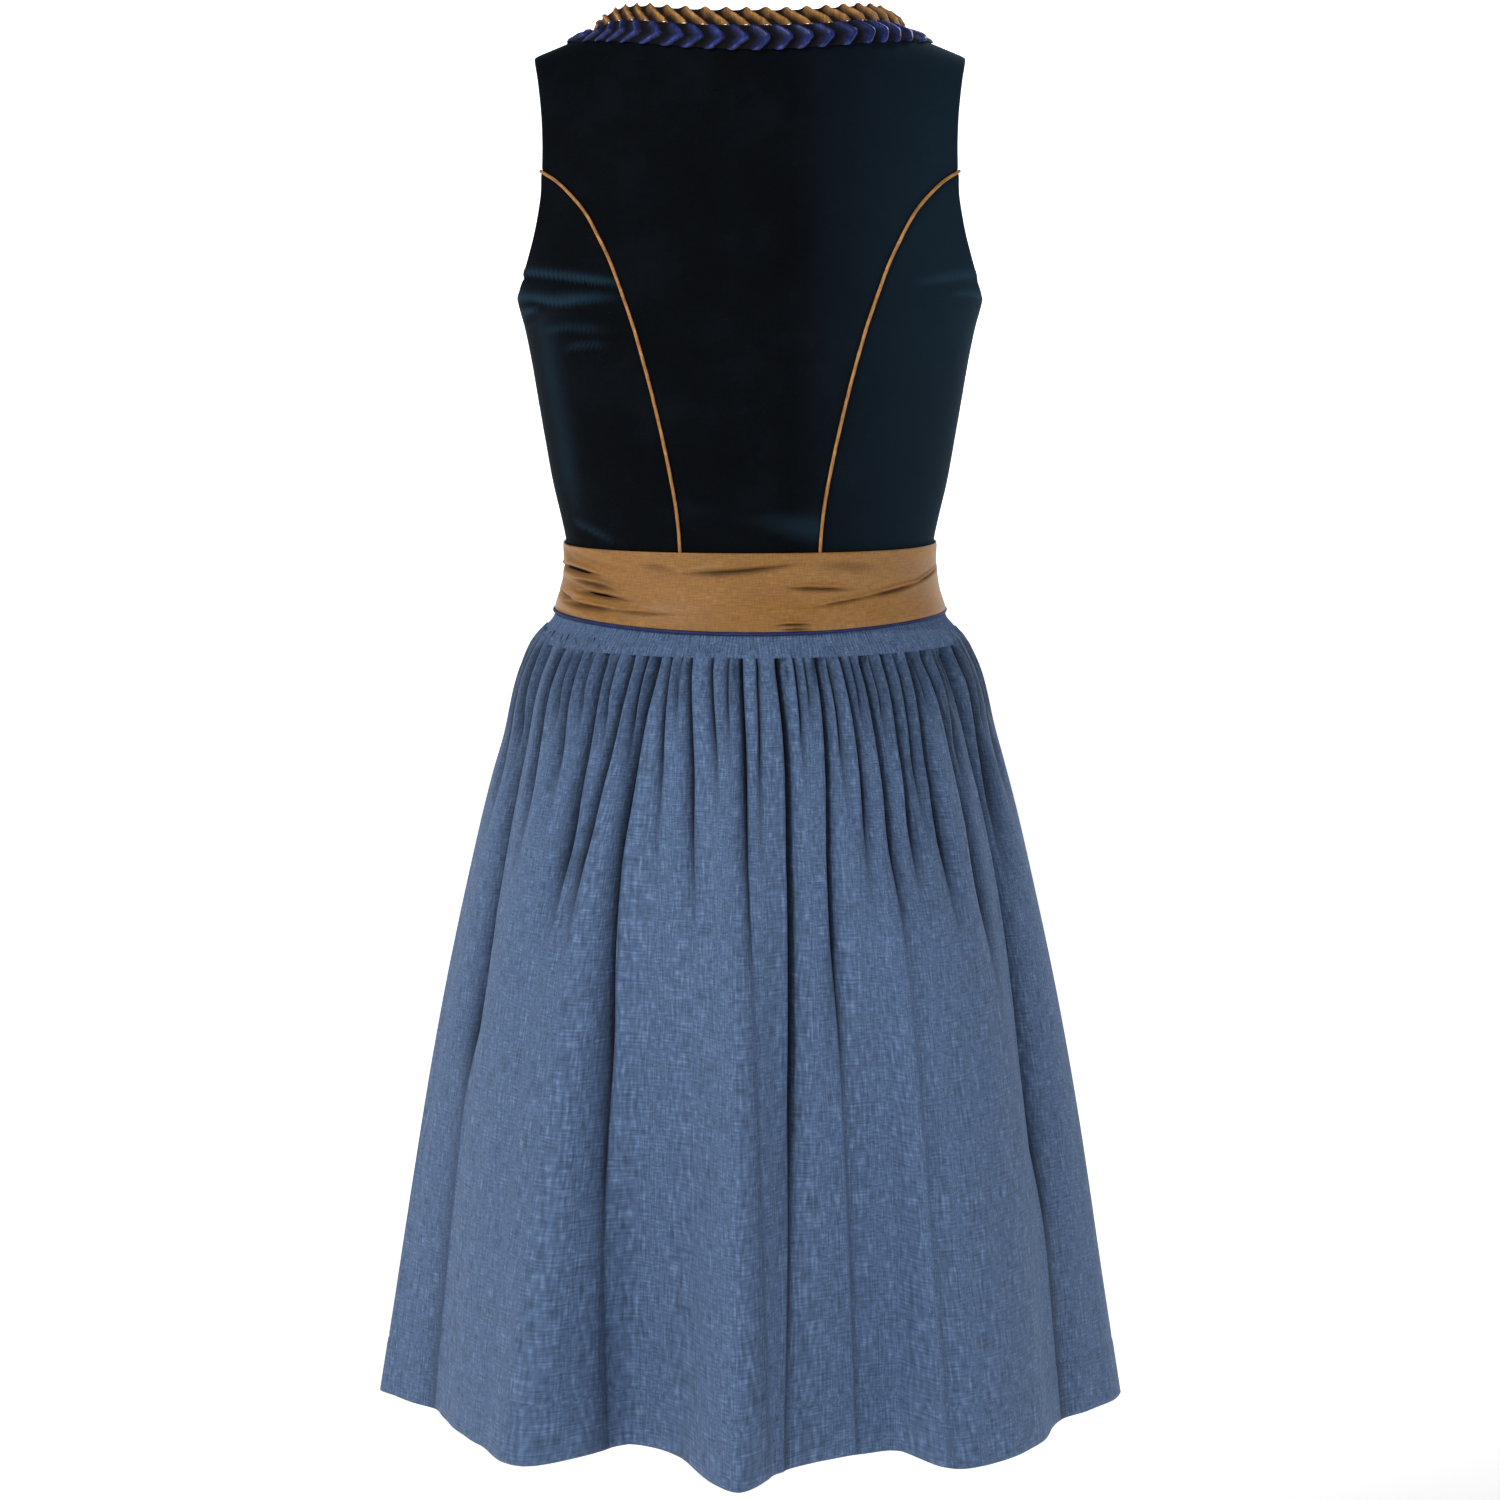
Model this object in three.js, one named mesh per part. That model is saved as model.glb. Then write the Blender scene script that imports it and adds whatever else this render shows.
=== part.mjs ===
// A sleeveless dirndl: a velvet bodice cut with curved seams, a pleated satin trim round the neck,
// a gathered knee-length skirt, and a taffeta apron with its band tied in front.
// The cloth is a thin wall that keeps the form it has when it is worn.
//
// Millimetres, +Z up, +Y the wearer's front, +X the wearer's right.
// The origin is the middle of the line between the shoulder seams, where the straps rest.
// Angles go round the dress in degrees: 0 is the middle of the back, 90 the right side seam, 180 the front.

import * as THREE from 'three';

// ---------------------------------------------------------------- driving sizes

const SEAM_GAP = 0.3; // between two pieces at a seam
const VELVET_WALL = 2; // velvet with its lining
const LINEN_WALL = 1.3;
const TAFFETA_WALL = 1.2;

const NECK_HALF = 112; // neck opening, measured at the shoulder seam
const NECK_POINT_Z = -2.3; // inner end of the shoulder seam
const SHOULDER_SLOPE = 0.413; // drop of the shoulder seam for each mm outwards
const NECK_RISE = 14; // how far the form would rise above that slope towards the open neck
const ROLL = 110; // drop over which back and front turn up to the shoulder seam

const WAIST_Z = -392; // bodice and skirt meet here, behind the band
const UNDERARM_Z = -187; // top of the side seams
const HEM_Z = -973.8;
const HEADING_Z = -424; // lower edge of the shirred heading, where the gathers open

// Half width, depth of the back and depth of the front of the bodice at each height.
// A squareness of 2 is an ellipse, more is a flatter back and front.
const BODICE = [
  { z: 20, half: 172, back: 90, front: 90, square: 2.4 },
  { z: -18, half: 172, back: 91, front: 94, square: 2.4 },
  { z: -60, half: 171, back: 94, front: 101, square: 2.4 },
  { z: -100, half: 170, back: 98, front: 109, square: 2.4 },
  { z: -142, half: 168, back: 101, front: 118, square: 2.4 },
  { z: -169, half: 165.5, back: 102, front: 123, square: 2.35 },
  { z: -187, half: 162.5, back: 102, front: 126, square: 2.3 },
  { z: -205, half: 157.8, back: 101.5, front: 127, square: 2.25 },
  { z: -228, half: 153.2, back: 100, front: 125, square: 2.2 },
  { z: -257, half: 148.4, back: 98, front: 121, square: 2.15 },
  { z: -285, half: 143.7, back: 96, front: 116, square: 2.1 },
  { z: -313, half: 138.8, back: 94, front: 111, square: 2.05 },
  { z: -341, half: 132.4, back: 92.5, front: 106.5, square: 2 },
  { z: -356, half: 129.5, back: 92, front: 104, square: 2 },
  { z: -370, half: 128.8, back: 92, front: 103.5, square: 2 },
  { z: -384, half: 130.2, back: 93.2, front: 104.2, square: 2 },
  { z: -392, half: 132, back: 95, front: 105, square: 2 },
];

// Fullness that the front seams give over the bust of a general figure.
const CUP = { x: 74, z: -206, halfWidth: 46, halfHeight: 56, out: 14 };

// Half width and depths of the skirt at the crests of its gathers, and how deep the gathers fall there.
const SKIRT = [
  { z: -392.3, half: 132.2, back: 95.2, front: 105.2, gather: 0 },
  { z: -410, half: 138, back: 99.5, front: 109.5, gather: 0 },
  { z: -424, half: 150, back: 109, front: 118, gather: 1.6 },
  { z: -446, half: 160.4, back: 120, front: 128, gather: 5.5 },
  { z: -490, half: 174.4, back: 134, front: 142, gather: 6.5 },
  { z: -560, half: 193, back: 149, front: 157, gather: 5.5 },
  { z: -680, half: 219.2, back: 168, front: 176, gather: 3.5 },
  { z: -820, half: 244, back: 187, front: 194, gather: 1.8 },
  { z: -973.8, half: 268.3, back: 205, front: 211, gather: 0.6 },
];
const GATHERS = 64; // round the whole waist
const COLUMNS_PER_GATHER = 3;

// Long folds that run down from the gathers: the angle at the waist and at the hem, the half width in
// degrees, the depth, and the heights between which each one fades out.
const FOLDS = [
  { top: -60.5, hem: -60.5, width: 4.5, depth: 16, fadeFrom: -700, fadeTo: -850 },
  { top: -37.6, hem: -42, width: 3, depth: 6, fadeFrom: -470, fadeTo: -590 },
  { top: -30, hem: -38, width: 3, depth: 8, fadeFrom: -480, fadeTo: -600 },
  { top: -23.3, hem: -25.5, width: 3.4, depth: 14, fadeFrom: -720, fadeTo: -960 },
  { top: -12.7, hem: -9, width: 3, depth: 9, fadeFrom: -500, fadeTo: -640 },
  { top: -0.3, hem: -0.3, width: 2.8, depth: 9, fadeFrom: -560, fadeTo: -700 },
  { top: 6.8, hem: 4.5, width: 3, depth: 15, fadeFrom: -720, fadeTo: -960 },
  { top: 11.2, hem: 11.2, width: 2.6, depth: 6, fadeFrom: -450, fadeTo: -540 },
  { top: 16.9, hem: 18.4, width: 3, depth: 13, fadeFrom: -680, fadeTo: -900 },
  { top: 23.3, hem: 24, width: 2.6, depth: 6, fadeFrom: -450, fadeTo: -540 },
  { top: 36, hem: 37.5, width: 3, depth: 8, fadeFrom: -500, fadeTo: -640 },
  { top: 42, hem: 43, width: 2.8, depth: 6, fadeFrom: -450, fadeTo: -540 },
  { top: 50, hem: 51, width: 3, depth: 8, fadeFrom: -480, fadeTo: -600 },
  { top: 62, hem: 59, width: 4.5, depth: 15, fadeFrom: -760, fadeTo: -940 },
  { top: 112, hem: 114, width: 4, depth: 12, fadeFrom: -650, fadeTo: -840 },
  { top: 127, hem: 124, width: 3, depth: 8, fadeFrom: -500, fadeTo: -640 },
  { top: 143, hem: 145, width: 3.4, depth: 11, fadeFrom: -640, fadeTo: -860 },
  { top: 158, hem: 155, width: 3, depth: 7, fadeFrom: -470, fadeTo: -600 },
  { top: 171, hem: 173, width: 3.2, depth: 12, fadeFrom: -680, fadeTo: -900 },
  { top: 187, hem: 184, width: 3, depth: 8, fadeFrom: -500, fadeTo: -640 },
  { top: 203, hem: 206, width: 3.4, depth: 12, fadeFrom: -660, fadeTo: -880 },
  { top: 219, hem: 216, width: 3, depth: 7, fadeFrom: -470, fadeTo: -600 },
  { top: 234, hem: 237, width: 3.4, depth: 10, fadeFrom: -600, fadeTo: -800 },
  { top: 249, hem: 246, width: 4, depth: 12, fadeFrom: -650, fadeTo: -840 },
];

// How far the hem swings out or in from its plain oval.
const HEM_WAVES = [
  { angle: -90, out: 0 },
  { angle: -85, out: -13 },
  { angle: -68, out: -31 },
  { angle: -46, out: -6 },
  { angle: -33.5, out: 21 },
  { angle: -27, out: -16 },
  { angle: -21.5, out: -54 },
  { angle: -11.5, out: -33 },
  { angle: -4.5, out: 30 },
  { angle: -1, out: 46 },
  { angle: 4.5, out: 6 },
  { angle: 11, out: -23 },
  { angle: 18, out: -31 },
  { angle: 25.5, out: -33 },
  { angle: 28.5, out: 16 },
  { angle: 34, out: 22 },
  { angle: 46, out: 5 },
  { angle: 60, out: -17 },
  { angle: 72, out: -17 },
  { angle: 90, out: 0 },
  { angle: 105, out: -24 },
  { angle: 119, out: 20 },
  { angle: 133, out: -26 },
  { angle: 147, out: 24 },
  { angle: 160, out: -28 },
  { angle: 174, out: 23 },
  { angle: 188, out: -26 },
  { angle: 203, out: 21 },
  { angle: 218, out: -29 },
  { angle: 233, out: 20 },
  { angle: 250, out: -22 },
  { angle: 270, out: 0 },
];
const WAVE_RISE = 1.5; // the waves grow with this power of the way down
const FOLD_START = 50; // drop from the heading over which the long folds reach their depth

// Curved seam of the back, as a half width at each height, from the waist to the armhole.
const BACK_SEAM = [
  { x: 46.5, z: -392 },
  { x: 47, z: -380 },
  { x: 47.5, z: -366 },
  { x: 48.3, z: -350 },
  { x: 51.6, z: -318 },
  { x: 58, z: -284 },
  { x: 65.7, z: -250 },
  { x: 74.5, z: -216 },
  { x: 84.3, z: -184 },
  { x: 94.5, z: -156 },
  { x: 104, z: -136 },
  { x: 112.5, z: -121 },
  { x: 122.3, z: -109.5 },
  { x: 132.3, z: -100.5 },
  { x: 143.3, z: -94 },
];

// Rows across a front panel, from its inner edge to its outer one. The inner edge is the middle of the
// front and then the neckline, the outer one is the curved seam and then the armhole.
const FRONT_ROWS = [
  { neckX: 0, neckZ: -392, x: 55, z: -392 },
  { neckX: 0, neckZ: -380, x: 55.5, z: -380 },
  { neckX: 0, neckZ: -366, x: 56.5, z: -366 },
  { neckX: 0, neckZ: -350, x: 58, z: -350 },
  { neckX: 0, neckZ: -318, x: 63, z: -318 },
  { neckX: 0, neckZ: -284, x: 69.5, z: -284 },
  { neckX: 0, neckZ: -250, x: 76, z: -250 },
  { neckX: 0, neckZ: -220, x: 81.5, z: -216 },
  { neckX: 0, neckZ: -192, x: 87.5, z: -186 },
  { neckX: 0, neckZ: -167, x: 94, z: -162 },
  { neckX: 29, neckZ: -164, x: 97.5, z: -154 },
  { neckX: 53, neckZ: -156, x: 102.5, z: -144.5 },
  { neckX: 72, neckZ: -142.5, x: 108.5, z: -134.5 },
  { neckX: 81.5, neckZ: -131, x: 115, z: -126 },
  { neckX: 88, neckZ: -119, x: 122, z: -118.5 },
  { neckX: 93, neckZ: -107, x: 130, z: -111.5 },
  { neckX: 98.5, neckZ: -90, x: 139, z: -105 },
  { neckX: 103.5, neckZ: -70, x: 138.6, z: -86 },
  { neckX: 107.5, neckZ: -48, x: 140.3, z: -65 },
  { neckX: 110.2, neckZ: -29, x: 143.4, z: -46 },
  { neckX: 111.4, neckZ: -15, x: 146.7, z: -32 },
  { neckX: 111.9, neckZ: -6, x: 149.2, z: -22.5 },
  { neckX: 112, neckZ: -2.3, x: 150, z: -18 },
];
const FRONT_SEAM = FRONT_ROWS.filter(({ z }) => z <= -105);

// Armhole edge, below the curved seams, down to the side seam.
const BACK_ARMHOLE = [
  { x: 143.3, z: -94 },
  { x: 144.2, z: -114 },
  { x: 149.8, z: -142 },
  { x: 157.2, z: -168 },
  { x: 161.4, z: -182 },
];
const FRONT_ARMHOLE = [
  { x: 139, z: -105 },
  { x: 140.5, z: -128 },
  { x: 146, z: -152 },
  { x: 153.5, z: -172 },
  { x: 160.3, z: -184 },
];

// Armhole edge of the back, above the curved seam. The last row is the shoulder seam.
const BACK_YOKE = [
  { armX: 143.2, armZ: -76 },
  { armX: 144, armZ: -58 },
  { armX: 145.6, armZ: -43 },
  { armX: 147.4, armZ: -31 },
  { armX: 149, armZ: -23.5 },
  { armX: 149.8, armZ: -19.5 },
  { armX: 150, armZ: -18 },
];
// Cut edge of the neck, from the middle to the shoulder seam.
const BACK_NECK = [
  { x: 0, z: 1.4 },
  { x: 26, z: 1.6 },
  { x: 52, z: 2.9 },
  { x: 76, z: 4.5 },
  { x: 96, z: 3.6 },
  { x: 112, z: -2.3 },
];
const FRONT_NECK = FRONT_ROWS.filter(({ neckX, neckZ }) => neckX > 0 || neckZ > -170)
  .map(({ neckX, neckZ }) => ({ x: neckX, z: neckZ }));

const NECK_STEPS = 24; // places worked out on each quarter of the neck edge

const PIPING = { radius: 1.15, sides: 4, above: 0.3 };
const SIDE_PANEL_COLUMNS = 4;
const FRONT_PANEL_COLUMNS = 5;

// Neck trim: two rows of small pleats, the navy one on the velvet and the gold one standing above it.
const RUCHE = {
  pleats: 57,
  columnsPerPleat: 3,
  seat: 4.5, // the two rows meet this far above the cut edge
  clearance: 0.6,
  lift: 1.4, // how far the navy row's lower edge stands off the velvet
  navyDrop: 17,
  goldRise: 10.5,
  goldInside: 0.7,
  bulge: 0.8, // how much fuller the navy row is half way down
  stand: 0.5, // how much the gold row turns towards upright
  steps: [1.6, 3, 4.4], // thickness along one pleat
};

// Front closing.
const BUTTON = { count: 6, radius: 6.5, thick: 2.6, above: 0.5, firstZ: -188, spacing: 31, segments: 12 };

// Taffeta band and its bow.
const BAND = {
  columns: 48,
  clearance: 0.9,
  topBack: -353.8,
  topSide: -356,
  bottomBack: -408.2,
  bottomSide: -403.2,
  bottomFront: -404.2,
  rows: [0, 0.36, 0.72, 1],
};
const WAIST_PIPING = { radius: 1.1, drop: 1.5, clearance: 1.2, reach: 116, columns: 56 };
const BOW = {
  angle: 166,
  z: -380,
  knotHalfWidth: 15,
  knotHalfHeight: 20,
  knotDepth: 17,
  knotOff: 1.35, // off the band
  loopWidth: 46,
  loopReach: 78, // from the knot to the far end of a loop
  pinch: 0.5,
  tailWidth: 52,
  tailTop: -398.3, // just under the knot
  tailTopOut: 10,
  tailTopLean: 0.41, // share of its lean that a tail has at the knot
  tailOff: 5, // clear of the apron's pleats
  tailPinch: 0.34, // share of its width that a tail has at the knot
  tailLeftEnd: -700,
  tailRightEnd: -668,
  tailLeftLean: 13, // how far it swings round the skirt at its end, in degrees
  tailRightLean: -14,
  hollowest: -6, // a tail bridges the skirt's folds below this depth
};

// Apron, hung from the band over the front of the skirt.
const APRON = {
  firstColumn: 63, // skirt columns at its two side edges
  lastColumn: 129,
  columnStep: 2,
  topZ: -404.6,
  hemZ: -931,
  clearance: 0.5,
  standOff: 3.6, // how far it hangs clear of the skirt below the heading
  pleat: 4,
};

// ---------------------------------------------------------------- colours

const FINISH = {
  velvet: { color: 0x0a0e14, roughness: 0.9 },
  linen: { color: 0x576b8a, roughness: 0.85 },
  taffeta: { color: 0x876340, roughness: 0.45 },
  goldSatin: { color: 0x8a6a44, roughness: 0.4 },
  navySatin: { color: 0x252f52, roughness: 0.4 },
  button: { color: 0x6b5234, roughness: 0.4 },
};

const dirndl = new THREE.Group();

function addPiece(name, finish, geometry) {
  const material = new THREE.MeshStandardMaterial({ ...FINISH[finish], metalness: 0 });
  const piece = new THREE.Mesh(geometry, material);
  piece.name = name;
  dirndl.add(piece);
  return piece;
}

// ---------------------------------------------------------------- helpers

const radians = THREE.MathUtils.degToRad;
const mix = THREE.MathUtils.lerp;
const ease = (from, to, value) => THREE.MathUtils.smoothstep((value - from) / (to - from), 0, 1);

// Smooth value of one column of a table, read at a value of its key column.
function read(rows, key, at, column) {
  const last = rows.length - 1;
  const way = Math.sign(rows[last][key] - rows[0][key]);
  const ahead = (row) => way * (at - row[key]);
  if (ahead(rows[0]) <= 0) return rows[0][column];
  if (ahead(rows[last]) >= 0) return rows[last][column];
  const i = rows.findIndex((row, k) => ahead(rows[k + 1]) < 0);
  const span = rows[i + 1][key] - rows[i][key];
  const slope = (k) => {
    const before = rows[Math.max(k - 1, 0)];
    const after = rows[Math.min(k + 1, last)];
    return (after[column] - before[column]) / (after[key] - before[key]);
  };
  const t = (at - rows[i][key]) / span;
  const [a, b] = [rows[i][column], rows[i + 1][column]];
  const [da, db] = [slope(i) * span, slope(i + 1) * span];
  const bend = (da - (b - a)) * (1 - t) + ((b - a) - db) * t;
  return mix(a, b, t) + t * (1 - t) * bend;
}

// A closed solid through a row of sections. Each section is a ring of as many points, in order:
// the outer points of a wall first, then its inner points on the way back.
function solidThrough(sections, closed = false) {
  const count = sections.length;
  const size = sections[0].length;
  const index = (i, k) => (i % count) * size + (k % size);
  const faces = [];
  for (let i = 0; i < (closed ? count : count - 1); i += 1) {
    for (let k = 0; k < size; k += 1) {
      const [a, b] = [index(i, k), index(i, k + 1)];
      const [c, d] = [index(i + 1, k + 1), index(i + 1, k)];
      // both faces of a wall are split along the same diagonal
      if (k < size / 2) faces.push(a, b, c, a, c, d);
      else faces.push(a, b, d, b, c, d);
    }
  }
  if (!closed) {
    for (let k = 0; k < size / 2 - 1; k += 1) {
      const far = size - 1 - k;
      const cap = (i) => [index(i, k), index(i, far), index(i, far - 1), index(i, k + 1)];
      const [a, b, c, d] = cap(0);
      faces.push(a, c, d, a, b, c);
      const [e, f, g, h] = cap(count - 1);
      faces.push(e, h, g, e, g, f);
    }
  }
  const points = sections.flat();
  const geometry = new THREE.BufferGeometry();
  geometry.setAttribute('position', new THREE.Float32BufferAttribute(points.flatMap((p) => p.toArray()), 3));
  geometry.setIndex(faces);
  return facingOut(geometry);
}

// Turns all faces round where the enclosed volume comes out negative.
function facingOut(geometry) {
  const position = geometry.getAttribute('position');
  const index = geometry.getIndex().array;
  const corner = (k) => new THREE.Vector3().fromBufferAttribute(position, index[k]);
  let volume = 0;
  for (let k = 0; k < index.length; k += 3) {
    volume += corner(k).dot(corner(k + 1).cross(corner(k + 2)));
  }
  if (volume < 0) {
    for (let k = 0; k < index.length; k += 3) {
      [index[k + 1], index[k + 2]] = [index[k + 2], index[k + 1]];
    }
  }
  geometry.computeVertexNormals();
  return geometry;
}

// ---------------------------------------------------------------- bodice form

// Even shares from 0 to 1.
const range = (count) => Array.from({ length: count + 1 }, (_, k) => k / count);

function shoulderLine(x) {
  const inwards = NECK_HALF - Math.abs(x);
  const rise = NECK_RISE * ease(0, 46, inwards) * (1 - 0.7 * ease(50, NECK_HALF, inwards));
  return NECK_POINT_Z + inwards * SHOULDER_SLOPE + rise;
}

function cup(x, z) {
  const across = (Math.abs(x) - CUP.x) / CUP.halfWidth;
  const up = (z - CUP.z) / CUP.halfHeight;
  return CUP.out * Math.exp(-(across ** 2) - up ** 2);
}

// Point of the bodice's outer face. Past the shoulder line it comes down again on the other side.
function bodiceForm(angle, z) {
  const [s, c] = [Math.sin(radians(angle)), Math.cos(radians(angle))];
  const power = 2 / read(BODICE, 'z', z, 'square');
  const x = read(BODICE, 'z', z, 'half') * Math.sign(s) * Math.abs(s) ** power;
  const below = shoulderLine(x) - z;
  const turn = Math.min(Math.abs(below) / ROLL, 1);
  const roll = Math.sign(below) * Math.sqrt(1 - (1 - turn) ** 2);
  const depth = c > 0 ? read(BODICE, 'z', z, 'back') : read(BODICE, 'z', z, 'front') + cup(x, z);
  const y = -depth * Math.sign(c) * Math.abs(c) ** power * roll;
  return new THREE.Vector3(x, y, shoulderLine(x) - Math.abs(below));
}

function bodiceNormal(angle, z) {
  const along = bodiceForm(angle + 0.4, z).sub(bodiceForm(angle - 0.4, z));
  const up = bodiceForm(angle, z + 0.3).sub(bodiceForm(angle, z - 0.3));
  return along.cross(up).normalize();
}

// Place on the bodice, as an angle and a height, of a half width. Side is 1 on the right, -1 on the left.
function place(side, x, z, front = false) {
  const share = Math.min(x / read(BODICE, 'z', z, 'half'), 1);
  const turn = THREE.MathUtils.radToDeg(Math.asin(share ** (read(BODICE, 'z', z, 'square') / 2)));
  return { angle: side * (front ? 180 - turn : turn), z };
}

// ---------------------------------------------------------------- bodice panels

// Places inside four edges that meet at their corners, as rows from the bottom up.
function patch(left, right, bottom, top) {
  const rows = left.length;
  const columns = bottom.length;
  const ends = (edge, key) => [edge[0][key], edge[edge.length - 1][key]];
  return left.map((leftPlace, i) => {
    const [low, high] = ends(right, 'z');
    const v = i === rows - 1 ? 1 : (right[i].z - low) / (high - low);
    return bottom.map((bottomPlace, j) => {
      const u = j / (columns - 1);
      const blend = (key) => {
        const sides = mix(leftPlace[key], right[i][key], u);
        const rims = mix(bottomPlace[key], top[j][key], v);
        const lowCorners = mix(...ends(bottom, key), u);
        const highCorners = mix(...ends(top, key), u);
        return sides + rims - mix(lowCorners, highCorners, v);
      };
      return { angle: blend('angle'), z: blend('z') };
    });
  });
}

// Moves the edge points of a grid in by half a seam gap, towards their neighbours.
function pullIn(grid) {
  const step = SEAM_GAP / 2;
  const towards = (point, neighbour) => neighbour.clone().sub(point).setLength(step);
  const columns = grid[0].length;
  const last = grid.length - 1;
  const moves = [];
  for (let i = 0; i <= last; i += 1) {
    moves.push([grid[i][0], towards(grid[i][0], grid[i][1])]);
    moves.push([grid[i][columns - 1], towards(grid[i][columns - 1], grid[i][columns - 2])]);
  }
  for (let j = 0; j < columns; j += 1) {
    moves.push([grid[last][j], towards(grid[last][j], grid[last - 1][j])]);
  }
  for (const [point, move] of moves) point.add(move);
}

function addPanel(name, places) {
  const outer = places.map((row) => row.map(({ angle, z }) => bodiceForm(angle, z)));
  const inner = places.map((row) =>
    row.map(({ angle, z }) => bodiceForm(angle, z).addScaledVector(bodiceNormal(angle, z), -VELVET_WALL)));
  for (const point of inner[0]) point.z = WAIST_Z; // the waist edge is cut level
  pullIn(outer);
  pullIn(inner);
  const sections = outer[0].map((_, j) => [
    ...outer.map((row) => row[j]),
    ...inner.map((row) => row[j]).reverse(),
  ]);
  addPiece(name, 'velvet', solidThrough(sections));
}

// Places evenly along the armhole edge, from the side seam up to the curved seam.
function armholeEdge(side, rows, front, columns) {
  const underarm = { angle: side * 90, z: UNDERARM_Z };
  const places = [underarm, ...rows.slice().reverse().map(({ x, z }) => place(side, x, z, front))];
  const degreeLength = read(BODICE, 'z', UNDERARM_Z, 'back') * radians(1);
  const points = places.map(({ angle, z }) => new THREE.Vector3(angle * degreeLength, z, 0));
  const curve = new THREE.CatmullRomCurve3(points, false, 'centripetal');
  return curve.getSpacedPoints(columns).map((p) => ({ angle: p.x / degreeLength, z: p.y }));
}

function waistEdge(from, to, columns) {
  return range(columns).map((u) => ({ angle: mix(from, to, u), z: WAIST_Z }));
}

function addSidePanel(name, side, seam, armhole, front) {
  const seamPlaces = seam.map(({ x, z }) => place(side, x, z, front));
  const seamTop = seam[seam.length - 1].z;
  const sideSeam = seam.map(({ z }) => {
    const share = (z - WAIST_Z) / (seamTop - WAIST_Z);
    return { angle: side * 90, z: mix(WAIST_Z, UNDERARM_Z, share) };
  });
  const bottom = waistEdge(side * 90, seamPlaces[0].angle, SIDE_PANEL_COLUMNS);
  const top = armholeEdge(side, armhole, front, SIDE_PANEL_COLUMNS);
  addPanel(name, patch(sideSeam, seamPlaces, bottom, top));
}

function backEdge(side) {
  return [
    ...BACK_SEAM.map(({ x, z }) => place(side, x, z)),
    ...BACK_YOKE.map(({ armX, armZ }) => place(side, armX, armZ)),
  ];
}

function addBack() {
  const [left, right] = [backEdge(-1), backEdge(1)];
  const halfNeck = BACK_NECK.map(({ x, z }) => place(1, x, z));
  const tip = right[right.length - 1];
  const rightTop = [...halfNeck, tip];
  const leftTop = rightTop.slice(1).reverse().map(({ angle, z }) => ({ angle: -angle, z }));
  const top = [...leftTop, ...rightTop];
  const bottom = waistEdge(left[0].angle, right[0].angle, top.length - 1);
  addPanel('bodice_back_centre', patch(left, right, bottom, top));
}

function addFront(name, side) {
  const places = FRONT_ROWS.map(({ neckX, neckZ, x, z }) => range(FRONT_PANEL_COLUMNS)
    .map((u) => place(side, mix(neckX, x, u), mix(neckZ, z, u), true)));
  addPanel(name, places);
}

// ---------------------------------------------------------------- piping on the back seams

function addPiping(name, side) {
  const { radius, sides, above } = PIPING;
  const places = BACK_SEAM.map(({ x, z }) => place(side, x, z));
  const surface = new THREE.CatmullRomCurve3(places.map(({ angle, z }) => bodiceForm(angle, z)));
  const first = BACK_SEAM.findIndex(({ z }) => z > BAND.topBack);
  const sections = [];
  for (let k = first; k < places.length; k += 1) {
    const { angle, z } = places[k];
    const normal = bodiceNormal(angle, z);
    const along = surface.getTangent(k / (places.length - 1));
    const across = new THREE.Vector3().crossVectors(along, normal).normalize();
    const centre = bodiceForm(angle, z).addScaledVector(normal, above + radius);
    sections.push(range(sides).slice(0, sides).map((turn) => centre.clone()
      .addScaledVector(normal, radius * Math.cos(turn * 2 * Math.PI))
      .addScaledVector(across, radius * Math.sin(turn * 2 * Math.PI))));
  }
  addPiece(name, 'goldSatin', solidThrough(sections));
}

// ---------------------------------------------------------------- neck trim

// Evenly spaced frames along the cut neck edge, from the middle of the back round by the right side.
// Along follows the edge, normal points off the cloth, and up runs on from the cloth past its edge.
function neckFrames(count) {
  // closer together near the shoulder seam, where the cloth turns over
  const half = (rows, front) => {
    const fromShoulder = rows.slice().reverse().map(({ x, z }) => new THREE.Vector3(x, z, 0));
    const curve = new THREE.CatmullRomCurve3(fromShoulder);
    return range(NECK_STEPS).map((t) => curve.getPointAt(t ** 2)).map((p) => place(1, p.x, p.y, front));
  };
  const right = [...half(BACK_NECK, false).reverse(), ...half(FRONT_NECK, true).slice(1)];
  const left = right.slice(1, -1).reverse().map(({ angle, z }) => ({ angle: -angle, z }));
  const places = [...right, ...left];
  const edge = new THREE.CatmullRomCurve3(places.map(({ angle, z }) => bodiceForm(angle, z)), true);
  const normals = new THREE.CatmullRomCurve3(places.map(({ angle, z }) => bodiceNormal(angle, z)), true);
  return range(count).slice(0, count).map((share) => {
    const t = edge.getUtoTmapping(share);
    const along = edge.getTangent(t);
    const normal = normals.getPoint(t);
    normal.addScaledVector(along, -normal.dot(along)).normalize();
    const up = new THREE.Vector3().crossVectors(normal, along);
    return { point: edge.getPoint(t).addScaledVector(up, RUCHE.seat), along, normal, up };
  });
}

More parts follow.
